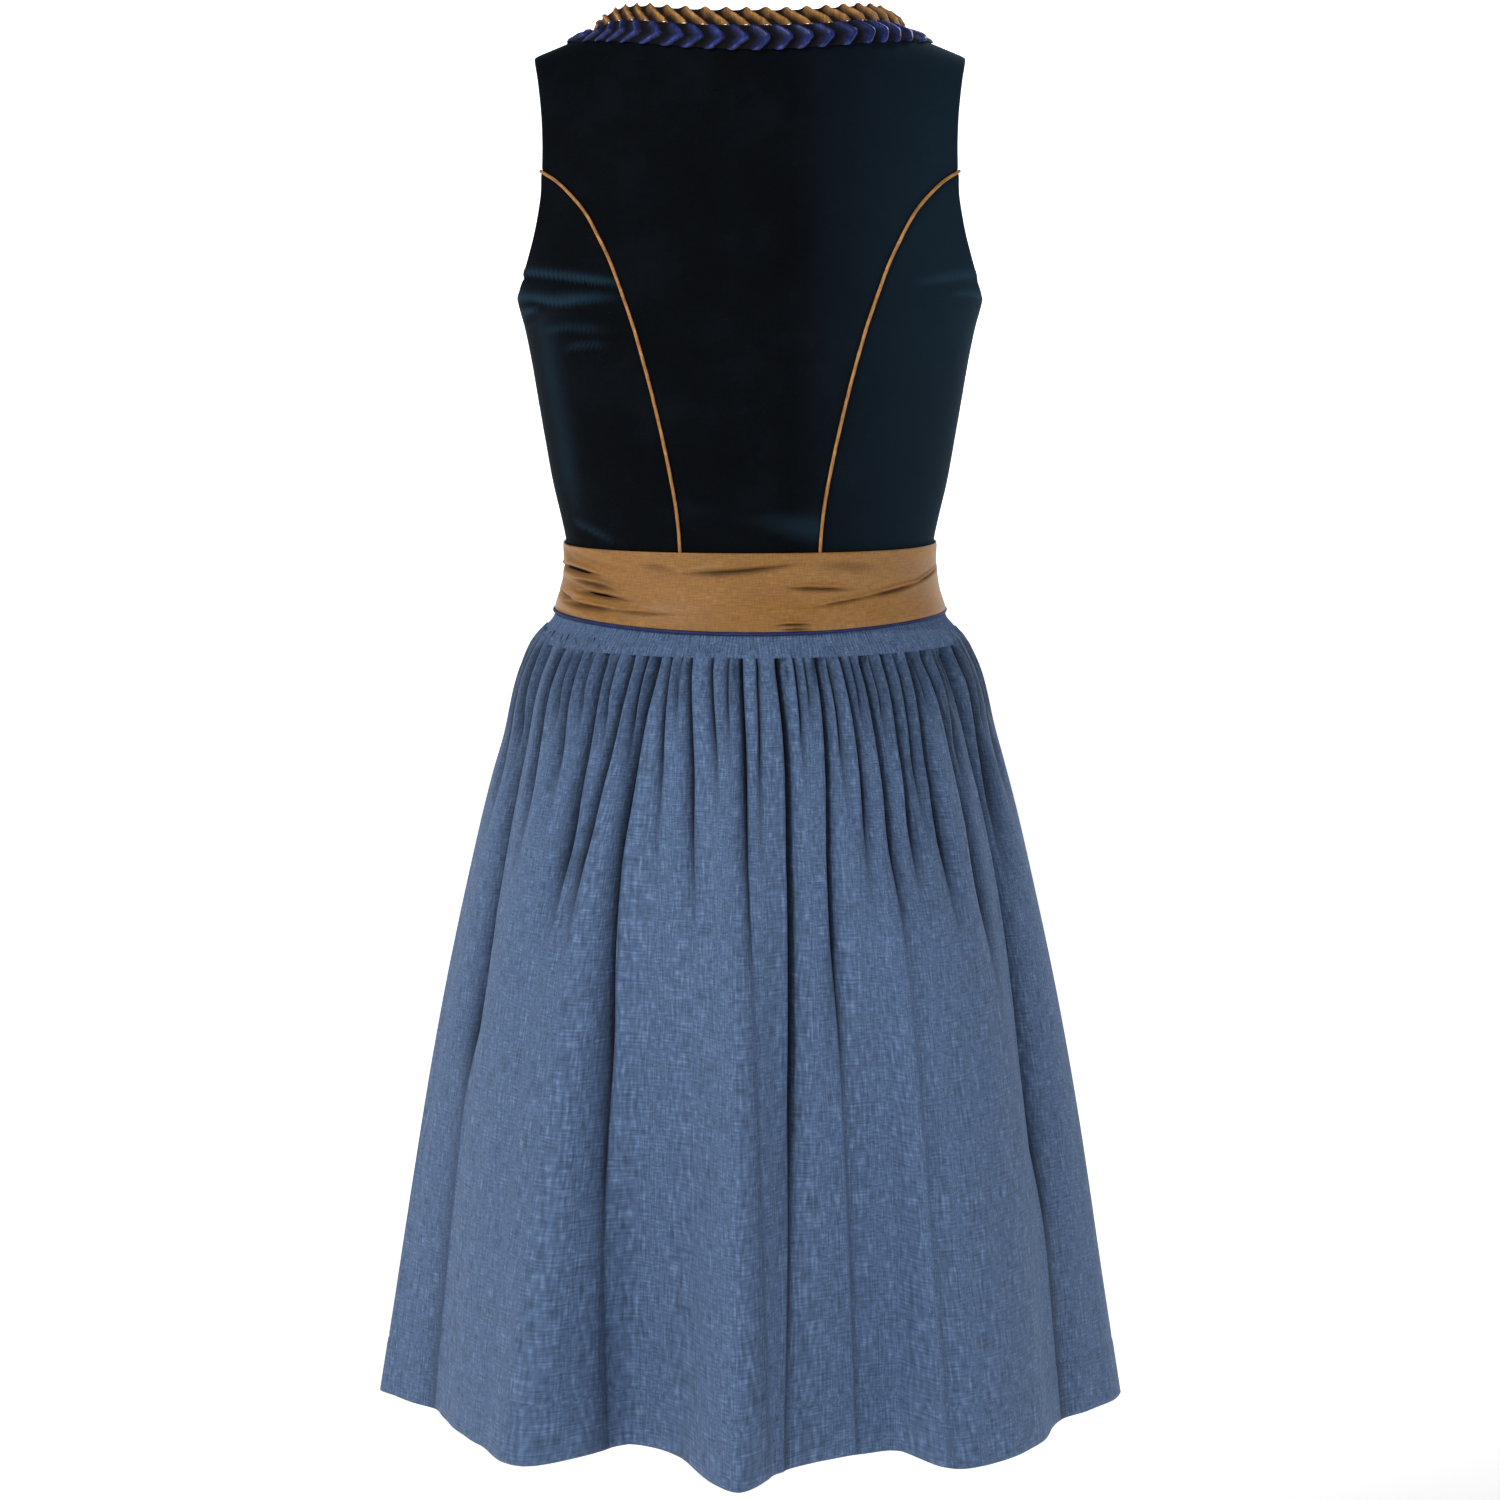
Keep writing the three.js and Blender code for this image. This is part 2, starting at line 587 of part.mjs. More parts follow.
function addRuches() {
  const { pleats, columnsPerPleat, clearance, lift, bulge, steps } = RUCHE;
  const { navyDrop, goldRise, goldInside, stand } = RUCHE;
  const frames = neckFrames(pleats * columnsPerPleat);
  const navy = [];
  const gold = [];
  frames.forEach(({ point, along, normal, up }, k) => {
    const thick = steps[k % columnsPerPleat];
    const ahead = steps[(k + 1) % columnsPerPleat];
    const from = (base, rise, out) => base.clone().addScaledVector(up, rise).addScaledVector(normal, out);
    navy.push([
      from(point, -SEAM_GAP / 2, clearance + thick),
      from(point, -navyDrop / 2, clearance + ahead + bulge),
      from(point, 0.6 - navyDrop - 0.5 * thick, clearance + lift + 0.6 * thick),
      from(point, 1.6 - navyDrop, clearance + lift),
      from(point, -SEAM_GAP / 2, clearance),
    ]);
    const upright = up.clone().addScaledVector(new THREE.Vector3(0, 0, 1), stand).normalize();
    const outwards = new THREE.Vector3().crossVectors(along, upright).normalize();
    const [foot, head] = [
      from(point, SEAM_GAP / 2, 0),
      from(point, SEAM_GAP / 2, 0).addScaledVector(upright, goldRise + 0.35 * ahead),
    ];
    gold.push([
      foot.clone().addScaledVector(normal, -goldInside),
      foot.clone().addScaledVector(normal, 0.4 + 0.7 * thick),
      head.clone().addScaledVector(outwards, 0.6 * ahead),
      head.clone().addScaledVector(outwards, -goldInside),
    ]);
  });
  addPiece('neck_ruche_navy', 'navySatin', solidThrough(navy, true));
  addPiece('neck_ruche_gold', 'goldSatin', solidThrough(gold, true));
}

// ---------------------------------------------------------------- buttons

function addButtons() {
  const { count, radius, thick, above, firstZ, spacing, segments } = BUTTON;
  const profile = [[0, 0], [0.8, 0], [1, 0.35], [0.85, 0.9], [0, 1]]
    .map(([r, h]) => new THREE.Vector2(r * radius, h * thick));
  for (let k = 0; k < count; k += 1) {
    const z = firstZ - k * spacing;
    const normal = bodiceNormal(180, z);
    const button = addPiece(`front_button_${k + 1}`, 'button', new THREE.LatheGeometry(profile, segments));
    button.quaternion.setFromUnitVectors(new THREE.Vector3(0, 1, 0), normal);
    button.position.copy(bodiceForm(180, z).addScaledVector(normal, above));
  }
}

// ---------------------------------------------------------------- skirt form

const COLUMN_COUNT = GATHERS * COLUMNS_PER_GATHER;

// The gathers aren't quite even: their columns drift round the waist, but not at the side seams.
function columnAngle(column) {
  const even = (column / COLUMN_COUNT) * 360;
  return even + 0.9 * Math.sin(radians(even * 4)) + 0.5 * Math.sin(radians(even * 14));
}

function wrapped(angle) {
  return THREE.MathUtils.euclideanModulo(angle + 90, 360) - 90;
}

function foldDepth(fold, angle, z) {
  const down = (HEADING_Z - z) / (HEADING_Z - HEM_Z);
  const centre = mix(fold.top, fold.hem, down);
  const off = (wrapped(angle - centre + 90) - 90) / fold.width;
  const fade = 1 - ease(-fold.fadeFrom, -fold.fadeTo, -z);
  return fold.depth * fade * Math.exp(-(off ** 2));
}

// How far the long folds and the hem waves move the cloth out from the plain oval.
function sway(angle, z) {
  if (z > HEADING_Z) return 0;
  const down = (HEADING_Z - z) / (HEADING_Z - HEM_Z);
  const wave = read(HEM_WAVES, 'angle', wrapped(angle), 'out') * down ** WAVE_RISE;
  const begin = ease(0, FOLD_START, HEADING_Z - z);
  return wave - begin * FOLDS.reduce((sum, fold) => sum + foldDepth(fold, angle, z), 0);
}

function gatherDrop(column, z) {
  const phase = (column / COLUMNS_PER_GATHER) * 2 * Math.PI;
  const uneven = 1 + 0.3 * Math.sin(column * 0.9) * Math.sin(column * 0.13);
  return read(SKIRT, 'z', z, 'gather') * uneven * 0.5 * (1 - Math.cos(phase));
}

// A point of the oval at a height, moved out square to it.
function ovalPoint(rows, angle, z, out) {
  const [s, c] = [Math.sin(radians(angle)), Math.cos(radians(angle))];
  const half = read(rows, 'z', z, 'half');
  const depth = read(rows, 'z', z, c > 0 ? 'back' : 'front');
  const normal = new THREE.Vector3(s / half, -c / depth, 0).normalize();
  return new THREE.Vector3(half * s, -depth * c, z).addScaledVector(normal, out);
}

// The side seams hold the skirt's outline, so its folds settle to nothing there.
function skirtOut(column, z) {
  return sway(columnAngle(column), z) - gatherDrop(column, z);
}

// Wall thickness along the oval's normal, larger where the cloth slopes.
function wallAt(out, column, step, z, wall) {
  const run = ovalPoint(SKIRT, columnAngle(column - step), z, 0)
    .distanceTo(ovalPoint(SKIRT, columnAngle(column + step), z, 0));
  const slope = (out(column + step, z) - out(column - step, z)) / run;
  return wall * Math.min(Math.sqrt(1 + slope ** 2), 2.4);
}

// Facing is 1 for the front half and -1 for the back half.
function addSkirtHalf(name, facing) {
  const firstColumn = (facing * COLUMN_COUNT) / 4;
  const lastColumn = firstColumn + COLUMN_COUNT / 2;
  const sections = [];
  for (let column = firstColumn; column <= lastColumn; column += 1) {
    const angle = columnAngle(column);
    const outer = SKIRT.map(({ z }) => ovalPoint(SKIRT, angle, z, skirtOut(column, z)));
    const inner = SKIRT.map(({ z }) => {
      const out = skirtOut(column, z) - wallAt(skirtOut, column, 1, z, LINEN_WALL);
      return ovalPoint(SKIRT, angle, z, out);
    });
    sections.push([...outer, ...inner.reverse()]);
  }
  for (const point of [...sections[0], ...sections[sections.length - 1]]) {
    point.y += facing * SEAM_GAP / 2;
  }
  addPiece(name, 'linen', solidThrough(sections));
}

// ---------------------------------------------------------------- waist

// Outer face of whatever the band lies on: the bodice, and the straight top of the skirt's heading.
function waistForm(angle, z, out) {
  if (z > WAIST_Z) return ovalPoint(BODICE, angle, z, out);
  const [top, next] = SKIRT;
  const share = (top.z - z) / (top.z - next.z);
  return ovalPoint(SKIRT, angle, top.z, out).lerp(ovalPoint(SKIRT, angle, next.z, out), share);
}

// Lower edge of the band, which sits a little deeper at the back.
function bandBottom(angle) {
  const c = Math.cos(radians(angle));
  return mix(BAND.bottomSide, c > 0 ? BAND.bottomBack : BAND.bottomFront, c ** 2);
}

function addBand() {
  const { columns, clearance, rows } = BAND;
  const sections = range(columns).slice(0, columns).map((share) => {
    const angle = share * 360;
    const top = mix(BAND.topSide, BAND.topBack, Math.cos(radians(angle)) ** 2);
    const heights = rows.map((v) => mix(top, bandBottom(angle), v));
    return [
      ...heights.map((z) => waistForm(angle, z, clearance + TAFFETA_WALL)),
      ...heights.map((z) => waistForm(angle, z, clearance)).reverse(),
    ];
  });
  addPiece('sash', 'taffeta', solidThrough(sections, true));
}

function addWaistPiping() {
  const { radius, drop, clearance, reach, columns } = WAIST_PIPING;
  const sections = range(columns).map((share) => {
    const angle = mix(-reach, reach, share);
    const z = bandBottom(angle) - drop;
    return [[1, 0], [0, -1], [-1, 0], [0, 1]].map(([out, up]) =>
      waistForm(angle, z, clearance + radius + out * radius).setZ(z + up * radius));
  });
  addPiece('waist_piping', 'navySatin', solidThrough(sections));
}

// ---------------------------------------------------------------- apron

function apronOut(column, z) {
  const standOff = APRON.standOff * ease(0, FOLD_START, HEADING_Z - z);
  const pleat = (column - APRON.firstColumn) / APRON.columnStep / COLUMNS_PER_GATHER;
  const rise = APRON.pleat * ease(-6, FOLD_START, HEADING_Z - z) * (0.4 + 0.6 * ease(900, 500, -z));
  const crest = 0.5 * (1 + Math.cos(2 * Math.PI * pleat));
  return sway(columnAngle(column), z) + APRON.clearance + standOff + rise * crest;
}

function addApron() {
  const between = SKIRT.map(({ z }) => z).filter((z) => z < APRON.topZ && z > APRON.hemZ);
  const heights = [APRON.topZ, ...between, APRON.hemZ];
  const sections = [];
  for (let column = APRON.firstColumn; column <= APRON.lastColumn; column += APRON.columnStep) {
    const angle = columnAngle(column);
    const form = (z, out) => (z > HEADING_Z ? waistForm(angle, z, out) : ovalPoint(SKIRT, angle, z, out));
    const inner = heights.map((z) => form(z, apronOut(column, z)));
    const outer = heights.map((z) => {
      const wall = wallAt(apronOut, column, APRON.columnStep, z, TAFFETA_WALL);
      return form(z, apronOut(column, z) + wall);
    });
    sections.push([...outer, ...inner.reverse()]);
  }
  addPiece('apron', 'taffeta', solidThrough(sections));
}

// ---------------------------------------------------------------- bow

// Local frame on the band where the bow is tied: across to the wearer's right, up, and off the band.
function bowFrame() {
  const off = ovalPoint(BODICE, BOW.angle, BOW.z, 1).sub(ovalPoint(BODICE, BOW.angle, BOW.z, 0));
  const up = new THREE.Vector3(0, 0, 1);
  const across = new THREE.Vector3().crossVectors(off, up).normalize();
  const seat = waistForm(BOW.angle, BOW.z, BAND.clearance + TAFFETA_WALL);
  const at = (x, y, out) => seat.clone().addScaledVector(across, x).addScaledVector(up, y)
    .addScaledVector(off, out);
  return at;
}

function addKnot(at) {
  const { knotHalfWidth, knotHalfHeight, knotDepth, knotOff } = BOW;
  const profile = [
    { x: -1, size: 0.76 },
    { x: -0.55, size: 0.95 },
    { x: 0, size: 1 },
    { x: 0.55, size: 0.95 },
    { x: 1, size: 0.76 },
  ];
  const ring = [[0.72, 0.06], [1, 0.4], [0.7, 0.95], [-0.7, 0.95], [-1, 0.4], [-0.72, 0.06]];
  const sections = profile.map(({ x, size }) => ring.map(([y, out]) =>
    at(x * knotHalfWidth, y * size * knotHalfHeight, knotOff + out * size * knotDepth)));
  addPiece('bow_knot', 'taffeta', solidThrough(sections));
}

// A loop goes out from the knot and comes back underneath, as one flat ribbon.
function addLoop(name, side, at) {
  const start = BOW.knotHalfWidth + 0.6;
  const path = [
    { reach: 0, y: 2, out: 15, width: 0.5 },
    { reach: 0.25, y: 5, out: 19, width: 0.85 },
    { reach: 0.62, y: 1, out: 19, width: 1 },
    { reach: 0.93, y: -9, out: 13, width: 1 },
    { reach: 1, y: -12, out: 7, width: 1 },
    { reach: 0.91, y: -12, out: 1, width: 1 },
    { reach: 0.6, y: -6, out: 1.5, width: 0.95 },
    { reach: 0.25, y: -1, out: 5, width: 0.8 },
    { reach: 0, y: -1, out: 8, width: 0.5 },
  ].map((row) => ({ ...row, x: start + row.reach * BOW.loopReach }));
  const sections = path.map(({ x, y, out, width }, k) => {
    const before = path[Math.max(k - 1, 0)];
    const after = path[Math.min(k + 1, path.length - 1)];
    const run = new THREE.Vector2(after.x - before.x, after.out - before.out).normalize();
    const half = width * BOW.loopWidth / 2;
    const corner = (height, offset) =>
      at(side * (x - run.y * offset), y + height, out + run.x * offset);
    return [
      corner(half, TAFFETA_WALL / 2),
      corner(-half, TAFFETA_WALL / 2),
      corner(-half, -TAFFETA_WALL / 2),
      corner(half, -TAFFETA_WALL / 2),
    ];
  });
  addPiece(name, 'taffeta', solidThrough(sections));
}

// A tail hangs from the knot over the apron, clear of its pleats.
function addTail(name, lean, end) {
  const clear = APRON.standOff + APRON.pleat + 2 * BOW.tailOff;
  const rows = 8;
  const places = range(rows).map((v) => {
    const z = mix(BOW.tailTop, end, v);
    const middle = BOW.angle + lean * mix(BOW.tailTopLean, 1, v);
    const halfWidth = (BOW.tailWidth / 2) * mix(BOW.tailPinch, 1, ease(0, 0.5, v));
    const halfTurn = THREE.MathUtils.radToDeg(halfWidth / read(SKIRT, 'z', z, 'half'));
    const out = mix(BOW.tailTopOut, clear, ease(0, 0.12, v));
    return { z, middle, halfTurn, out };
  });
  const columns = [-1, 0, 1];
  const face = (turn, thick) => places.map(({ z, middle, halfTurn, out }) => {
    const angle = middle + turn * halfTurn;
    return ovalPoint(SKIRT, angle, z, Math.max(sway(angle, z), BOW.hollowest) + out + thick);
  });
  const sections = columns.map((turn) => [...face(turn, TAFFETA_WALL), ...face(turn, 0).reverse()]);
  addPiece(name, 'taffeta', solidThrough(sections));
}

function addBow() {
  const at = bowFrame();
  addKnot(at);
  addLoop('bow_loop_right', 1, at);
  addLoop('bow_loop_left', -1, at);
  addTail('bow_tail_right', BOW.tailRightLean, BOW.tailRightEnd);
  addTail('bow_tail_left', BOW.tailLeftLean, BOW.tailLeftEnd);
}

// ---------------------------------------------------------------- assembly

addBack();
for (const [label, side] of [['left', -1], ['right', 1]]) {
  addSidePanel(`bodice_back_side_${label}`, side, BACK_SEAM, BACK_ARMHOLE, false);
  addSidePanel(`bodice_front_side_${label}`, side, FRONT_SEAM, FRONT_ARMHOLE, true);
  addFront(`bodice_front_${label}`, side);
  addPiping(`piping_back_${label}`, side);
}
addButtons();
addRuches();
addSkirtHalf('skirt_back', -1);
addSkirtHalf('skirt_front', 1);
addBand();
addWaistPiping();
addApron();
addBow();

export default dirndl;
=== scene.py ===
import math

import bpy
import numpy as np
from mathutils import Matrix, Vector


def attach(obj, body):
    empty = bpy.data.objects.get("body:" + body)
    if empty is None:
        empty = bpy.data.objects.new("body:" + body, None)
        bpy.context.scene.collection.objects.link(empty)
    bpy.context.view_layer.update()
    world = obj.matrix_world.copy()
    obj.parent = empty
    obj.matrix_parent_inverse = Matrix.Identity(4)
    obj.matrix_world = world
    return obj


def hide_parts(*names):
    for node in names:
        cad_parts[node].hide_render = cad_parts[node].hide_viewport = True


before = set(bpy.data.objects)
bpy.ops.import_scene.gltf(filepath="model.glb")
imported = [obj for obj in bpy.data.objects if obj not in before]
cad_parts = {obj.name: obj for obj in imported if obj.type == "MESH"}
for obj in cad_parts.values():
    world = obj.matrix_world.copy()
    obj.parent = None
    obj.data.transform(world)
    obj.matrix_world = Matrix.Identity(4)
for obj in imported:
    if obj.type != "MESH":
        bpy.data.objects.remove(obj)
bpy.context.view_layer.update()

# A dirndl, worn size, held up at the shoulders. Sizes are millimetres until a mesh is made.
# +Z up, +Y the wearer's front, +X the wearer's right.
# Angles go round the dress in degrees: 0 is the middle of the back, 90 the right side seam, 180 the front.

# ---- sizes

MM = 0.001
VELVET_WALL = 2.0
LINEN_WALL = 1.3
TAFFETA_WALL = 1.2
HEADING_WALL = 0.8
TRIM_WALL = 0.9
SEAM_GAP = 0.3
WAIST_Z = -392.0
UNDERARM_Z = -187.0
BAND_TOP_Z = -354.0
SKIRT_TOP_Z = -392.3
FLARE_Z = -410.0  # where the skirt's straight top ends
HEADING_Z = -424.0  # where the heading's ribs end and the gathers hang free
HEM_Z = -973.8
HEM_TURN = 41.0


def table(names, *lines):
    """A table with named columns, as one array for each column. Commas part its rows."""
    rows = [row.split() for line in lines for row in line.split(",")]
    return dict(zip(names.split(), np.array(rows, dtype=float).T))


BODICE = table(
    "z half back front square",
    "20 172 90 90 2.4, -18 172 91 94 2.4, -60 171 94 101 2.4, -100 170 98 109 2.4, -142 168 101 118 2.4",
    "-169 165.5 102 123 2.35, -187 162.5 102 126 2.3, -205 157.8 101.5 127 2.25, -228 153.2 100 125 2.2",
    "-257 148.4 98 121 2.15, -285 143.7 96 116 2.1, -313 138.8 94 111 2.05, -341 132.4 92.5 106.5 2",
    "-356 129.5 92 104 2, -370 128.8 92 103.5 2, -384 130.2 93.2 104.2 2, -392 132 95 105 2")

SKIRT = table(
    "z half back front",
    "-392.3 132.2 95.2 105.2, -410 138 99.5 109.5, -424 150 109 118, -446 160.4 120 128, -490 174.4 134 142",
    "-560 193 149 157, -680 219.2 168 176, -820 244 187 194, -973.8 268.3 205 211")

# How far the hem swings out or in from its plain oval.
HEM_WAVES = table(
    "angle out",
    "-90 0, -85 -13, -68 -31, -46 -6, -33.5 21, -27 -16, -21.5 -54, -11.5 -33, -4.5 30, -1 46, 4.5 6",
    "11 -23, 18 -31, 25.5 -33, 28.5 16, 34 22, 46 5, 60 -17, 72 -17, 90 0, 105 -24, 119 20, 133 -26, 147 24",
    "160 -28, 174 23, 188 -26, 203 21, 218 -29, 233 20, 250 -22, 270 0")
WAVE_RISE = 1.5  # the waves grow with this power of the way down

# Creases that run down from the gathers: the angle just under the heading, a hand's width lower, half way
# and at the hem, the depth, the half width at the top and below, and the heights where each one fades.
CREASES = table(
    "top upper middle hem depth narrow wide fade_from fade_to",
    # the long ones that are seen on the back
    "-66.5 -67.9 -67 -73 15 3 14 -600 -760, -40.2 -40.1 -41.8 -44 12 2.6 9 -500 -640",
    "-31 -33.2 -37.5 -41 12 2.6 9 -500 -640, -23.4 -26.6 -28.6 -27 17 2.6 9 -620 -840",
    "-15.3 -13 -11.5 -9 9 2.6 9 -480 -640, -9.8 -7.4 -6.5 -6 6 2.4 6 -460 -540",
    "-2 -0.6 -0.2 1.5 14 2.6 8 -500 -660, 5.9 8.2 7.6 3.5 20 2.6 10 -660 -920",
    "16.9 18 16.1 16.8 15 2.4 9 -560 -740, 23.3 25.8 25.4 25 7 2.4 7 -500 -620",
    "29.5 31.2 30.8 27.6 14 2.6 10 -500 -640, 36.3 37.3 36 34 11 2.6 9 -500 -620",
    "45.6 44.7 44.4 44 12 2.6 9 -500 -640, 51 54.3 55.4 55 13 2.8 10 -520 -680",
    "62.5 65.4 67.5 63 22 3.4 17 -640 -860",
    # the long ones on the front
    "112 112 113 114 13 3 12 -650 -860, 127 126 125 124 9 2.6 9 -500 -660",
    "143 143 144 145 12 3 10 -640 -880, 158 157 156 155 8 2.6 8 -480 -620",
    "171 171 172 173 13 3 11 -680 -920, 187 186 185 184 9 2.6 8 -500 -660",
    "203 204 205 206 13 3 11 -660 -900, 219 218 217 216 8 2.6 8 -480 -620",
    "234 235 236 237 11 3 10 -600 -820, 249 248 247 246 13 3 12 -650 -860",
    # short gathers between them on the back
    "-86 -86 -86 -86 5 2 5 -450 -520, -80.5 -80 -79.5 -79 6 2.2 6 -470 -580",
    "-73.5 -73.5 -73 -73 6 2.2 6 -455 -540, -58.6 -58.4 -58 -57 7 2.2 6 -470 -600",
    "-53.6 -53.2 -53 -52 5 2 5 -448 -500, -49.4 -49 -48.6 -48 6 2.2 6 -460 -560",
    "-45.2 -44.6 -44 -44 5 2 5 -446 -498, -36.4 -37 -37.6 -38 5.5 2 5 -450 -510",
    "-27.4 -29.6 -31 -32 6 2 5 -452 -530, -20.6 -20.4 -20 -20 6 2 6 -460 -600",
    "-18.2 -17.4 -17 -17 4 1.8 5 -444 -486, -5.6 -4.6 -4.4 -4 5 2 5 -448 -505, 1.4 2 2.2 3 6 2 6 -466 -590",
    "10.8 12.2 12.6 12 6 2 5 -455 -530, 13.6 15 15.6 16 4.5 1.8 5 -444 -488, 20 21.6 22 22 6 2 6 -458 -560",
    "26.6 28.4 28.4 28 5 2 5 -446 -500, 32.8 34.4 34 33 5 2 5 -450 -515",
    "40.6 40.8 41 41 6.5 2.2 6 -470 -590, 48 49.4 50 50 4.5 1.8 5 -446 -492",
    "56.4 58.6 60 60 6 2.2 6 -460 -560, 60 62 63 63 4.5 1.8 5 -445 -490, 69.8 72 73 72 7 2.2 6 -480 -640",
    "75.4 76.4 77 77 5 2 5 -450 -520, 80.6 81 81.4 82 6 2.2 6 -462 -570, 86.2 86 86 86 5 2 5 -448 -505")


def hidden_gathers():
    """Short gathers over the front, spaced and sized unevenly as the ones on the back are."""
    rows = []
    for k in range(36):
        angle = 94 + 4.94 * k + 1.3 * math.sin(2.4 * k) + 0.8 * math.sin(5.1 * k)
        depth = 5.4 + 1.4 * math.sin(3.7 * k)
        end = -520 - 60 * (0.5 + 0.5 * math.sin(1.9 * k + 1))
        rows.append((angle, angle, angle, angle, depth, 2.1, 5.5, -455, end))
    return rows


LONG_CREASES = 25  # the table's first rows
for name, values in zip(CREASES, np.array(hidden_gathers()).T):
    CREASES[name] = np.concatenate([CREASES[name], values])

BACK_SEAM = table(
    "x z",
    "46.5 -392, 47 -380, 47.5 -366, 48.3 -350, 51.6 -318, 58 -284, 65.7 -250, 74.5 -216, 84.3 -184",
    "94.5 -156, 104 -136, 112.5 -121, 122.3 -109.5, 132.3 -100.5, 143.3 -94")
BACK_ARM = table(
    "x z",
    "143.3 -94, 143.2 -76, 144 -58, 145.6 -43, 147.4 -31, 149 -23.5, 149.8 -19.5, 150 -18")
BACK_NECK = table(
    "x z",
    "0 1.4, 26 1.6, 52 2.9, 76 4.5, 96 3.6, 112 -2.3")

# Rows across a front panel, from the middle of the front or the neckline to the curved seam or the armhole.
FRONT_ROWS = table(
    "neck_x neck_z x z",
    "0 -392 55 -392, 0 -380 55.5 -380, 0 -366 56.5 -366, 0 -350 58 -350, 0 -318 63 -318, 0 -284 69.5 -284",
    "0 -250 76 -250, 0 -220 81.5 -216, 0 -192 87.5 -186, 0 -167 94 -162, 29 -164 97.5 -154",
    "53 -156 102.5 -144.5, 72 -142.5 108.5 -134.5, 81.5 -131 115 -126, 88 -119 122 -118.5",
    "93 -107 130 -111.5, 98.5 -90 139 -105, 103.5 -70 138.6 -86, 107.5 -48 140.3 -65, 110.2 -29 143.4 -46",
    "111.4 -15 146.7 -32, 111.9 -6 149.2 -22.5, 112 -2.3 150 -18")
NECK_ROW = 9  # row where the front edge turns into the neckline
ARM_ROW = 16  # row where the curved seam ends at the armhole

BACK_ARMHOLE = table(
    "x z",
    "143.3 -94, 144.2 -114, 149.8 -142, 157.2 -168, 161.4 -182")
FRONT_ARMHOLE = table(
    "x z",
    "139 -105, 140.5 -128, 146 -152, 153.5 -172, 160.3 -184")

# ---- reading the tables


def ease(start, end, value):
    t = np.clip((value - start) / (end - start), 0, 1)
    return t * t * (3 - 2 * t)


def bell(off, width):
    """1 in the middle, which falls off softly on both sides."""
    return np.exp(-(off / width) ** 2)


def smooth(rows, at, column, key="z"):
    """Smooth value of a column at a value of the key column."""
    order = np.argsort(rows[key])
    k, v = rows[key][order], rows[column][order]
    slope = np.empty_like(v)
    slope[1:-1] = (v[2:] - v[:-2]) / (k[2:] - k[:-2])
    slope[0] = (v[1] - v[0]) / (k[1] - k[0])
    slope[-1] = (v[-1] - v[-2]) / (k[-1] - k[-2])
    i = np.clip(np.searchsorted(k, at) - 1, 0, len(k) - 2)
    span = k[i + 1] - k[i]
    t = np.clip((at - k[i]) / span, 0, 1)
    a, b, da, db = v[i], v[i + 1], slope[i] * span, slope[i + 1] * span
    return a + (b - a) * t + t * (1 - t) * ((da - (b - a)) * (1 - t) + ((b - a) - db) * t)


def curve(points, at, corners=()):
    """Smooth line through points, read at fractional row numbers; it may turn sharply at the corners."""
    points = np.asarray(points, dtype=float)
    at = np.clip(np.asarray(at, dtype=float), 0, len(points) - 1)
    stops = [0, *corners, len(points) - 1]
    result = np.empty(at.shape + points.shape[1:])
    for first, last in zip(stops, stops[1:]):
        mask = (at >= first) & (at <= last)
        part = points[first:last + 1]
        i = np.clip(np.floor(at[mask] - first).astype(int), 0, last - first - 1)
        t = (at[mask] - first - i)[:, None]
        slope = np.gradient(part, axis=0) if len(part) > 1 else part * 0
        a, b, da, db = part[i], part[i + 1], slope[i], slope[i + 1]
        result[mask] = a + (b - a) * t + t * (1 - t) * ((da - (b - a)) * (1 - t) + ((b - a) - db) * t)
    return result


# ---- forms


def shoulder_line(x):
    inwards = 112 - np.abs(x)
    rise = 14 * ease(0, 46, inwards) * (1 - 0.7 * ease(50, 112, inwards))
    return -2.3 + inwards * 0.413 + rise


def cup(x, z):
    return 14 * np.exp(-(((np.abs(x) - 74) / 46) ** 2) - ((z + 206) / 56) ** 2)


def bodice(angle, z):
    """Points of the bodice's outer face. Past the shoulder line they come down again on the other side."""
    angle, z = np.broadcast_arrays(np.asarray(angle, float), np.asarray(z, float))
    s, c = np.sin(np.radians(angle)), np.cos(np.radians(angle))
    power = 2 / smooth(BODICE, z, "square")
    x = smooth(BODICE, z, "half") * np.sign(s) * np.abs(s) ** power
    below = shoulder_line(x) - z
    turn = np.minimum(np.abs(below) / 110, 1)
    roll = np.sign(below) * np.sqrt(1 - (1 - turn) ** 2)
    depth = np.where(c > 0, smooth(BODICE, z, "back"), smooth(BODICE, z, "front") + cup(x, z))
    y = -depth * np.sign(c) * np.abs(c) ** power * roll
    return np.stack([x, y, shoulder_line(x) - np.abs(below)], axis=-1)


def unit(vectors):
    return vectors / np.maximum(np.linalg.norm(vectors, axis=-1, keepdims=True), 1e-9)


def bodice_normal(angle, z):
    along = bodice(angle + 0.4, z) - bodice(angle - 0.4, z)
    up = bodice(angle, z + 0.3) - bodice(angle, z - 0.3)
    return unit(np.cross(along, up))


def place(side, x, z, front=False):
    """Angle and height on the bodice of a half width."""
    x, z = np.asarray(x, float), np.asarray(z, float)
    share = np.minimum(x / smooth(BODICE, z, "half"), 1)
    turn = np.degrees(np.arcsin(share ** (smooth(BODICE, z, "square") / 2)))
    return np.stack([side * (180 - turn if front else turn), z], axis=-1)


def oval_sizes(rows, angle, z):
    """Sine and cosine of an angle, and the half width and depth there."""
    s, c = np.sin(np.radians(angle)), np.cos(np.radians(angle))
    return s, c, smooth(rows, z, "half"), np.where(c > 0, smooth(rows, z, "back"), smooth(rows, z, "front"))


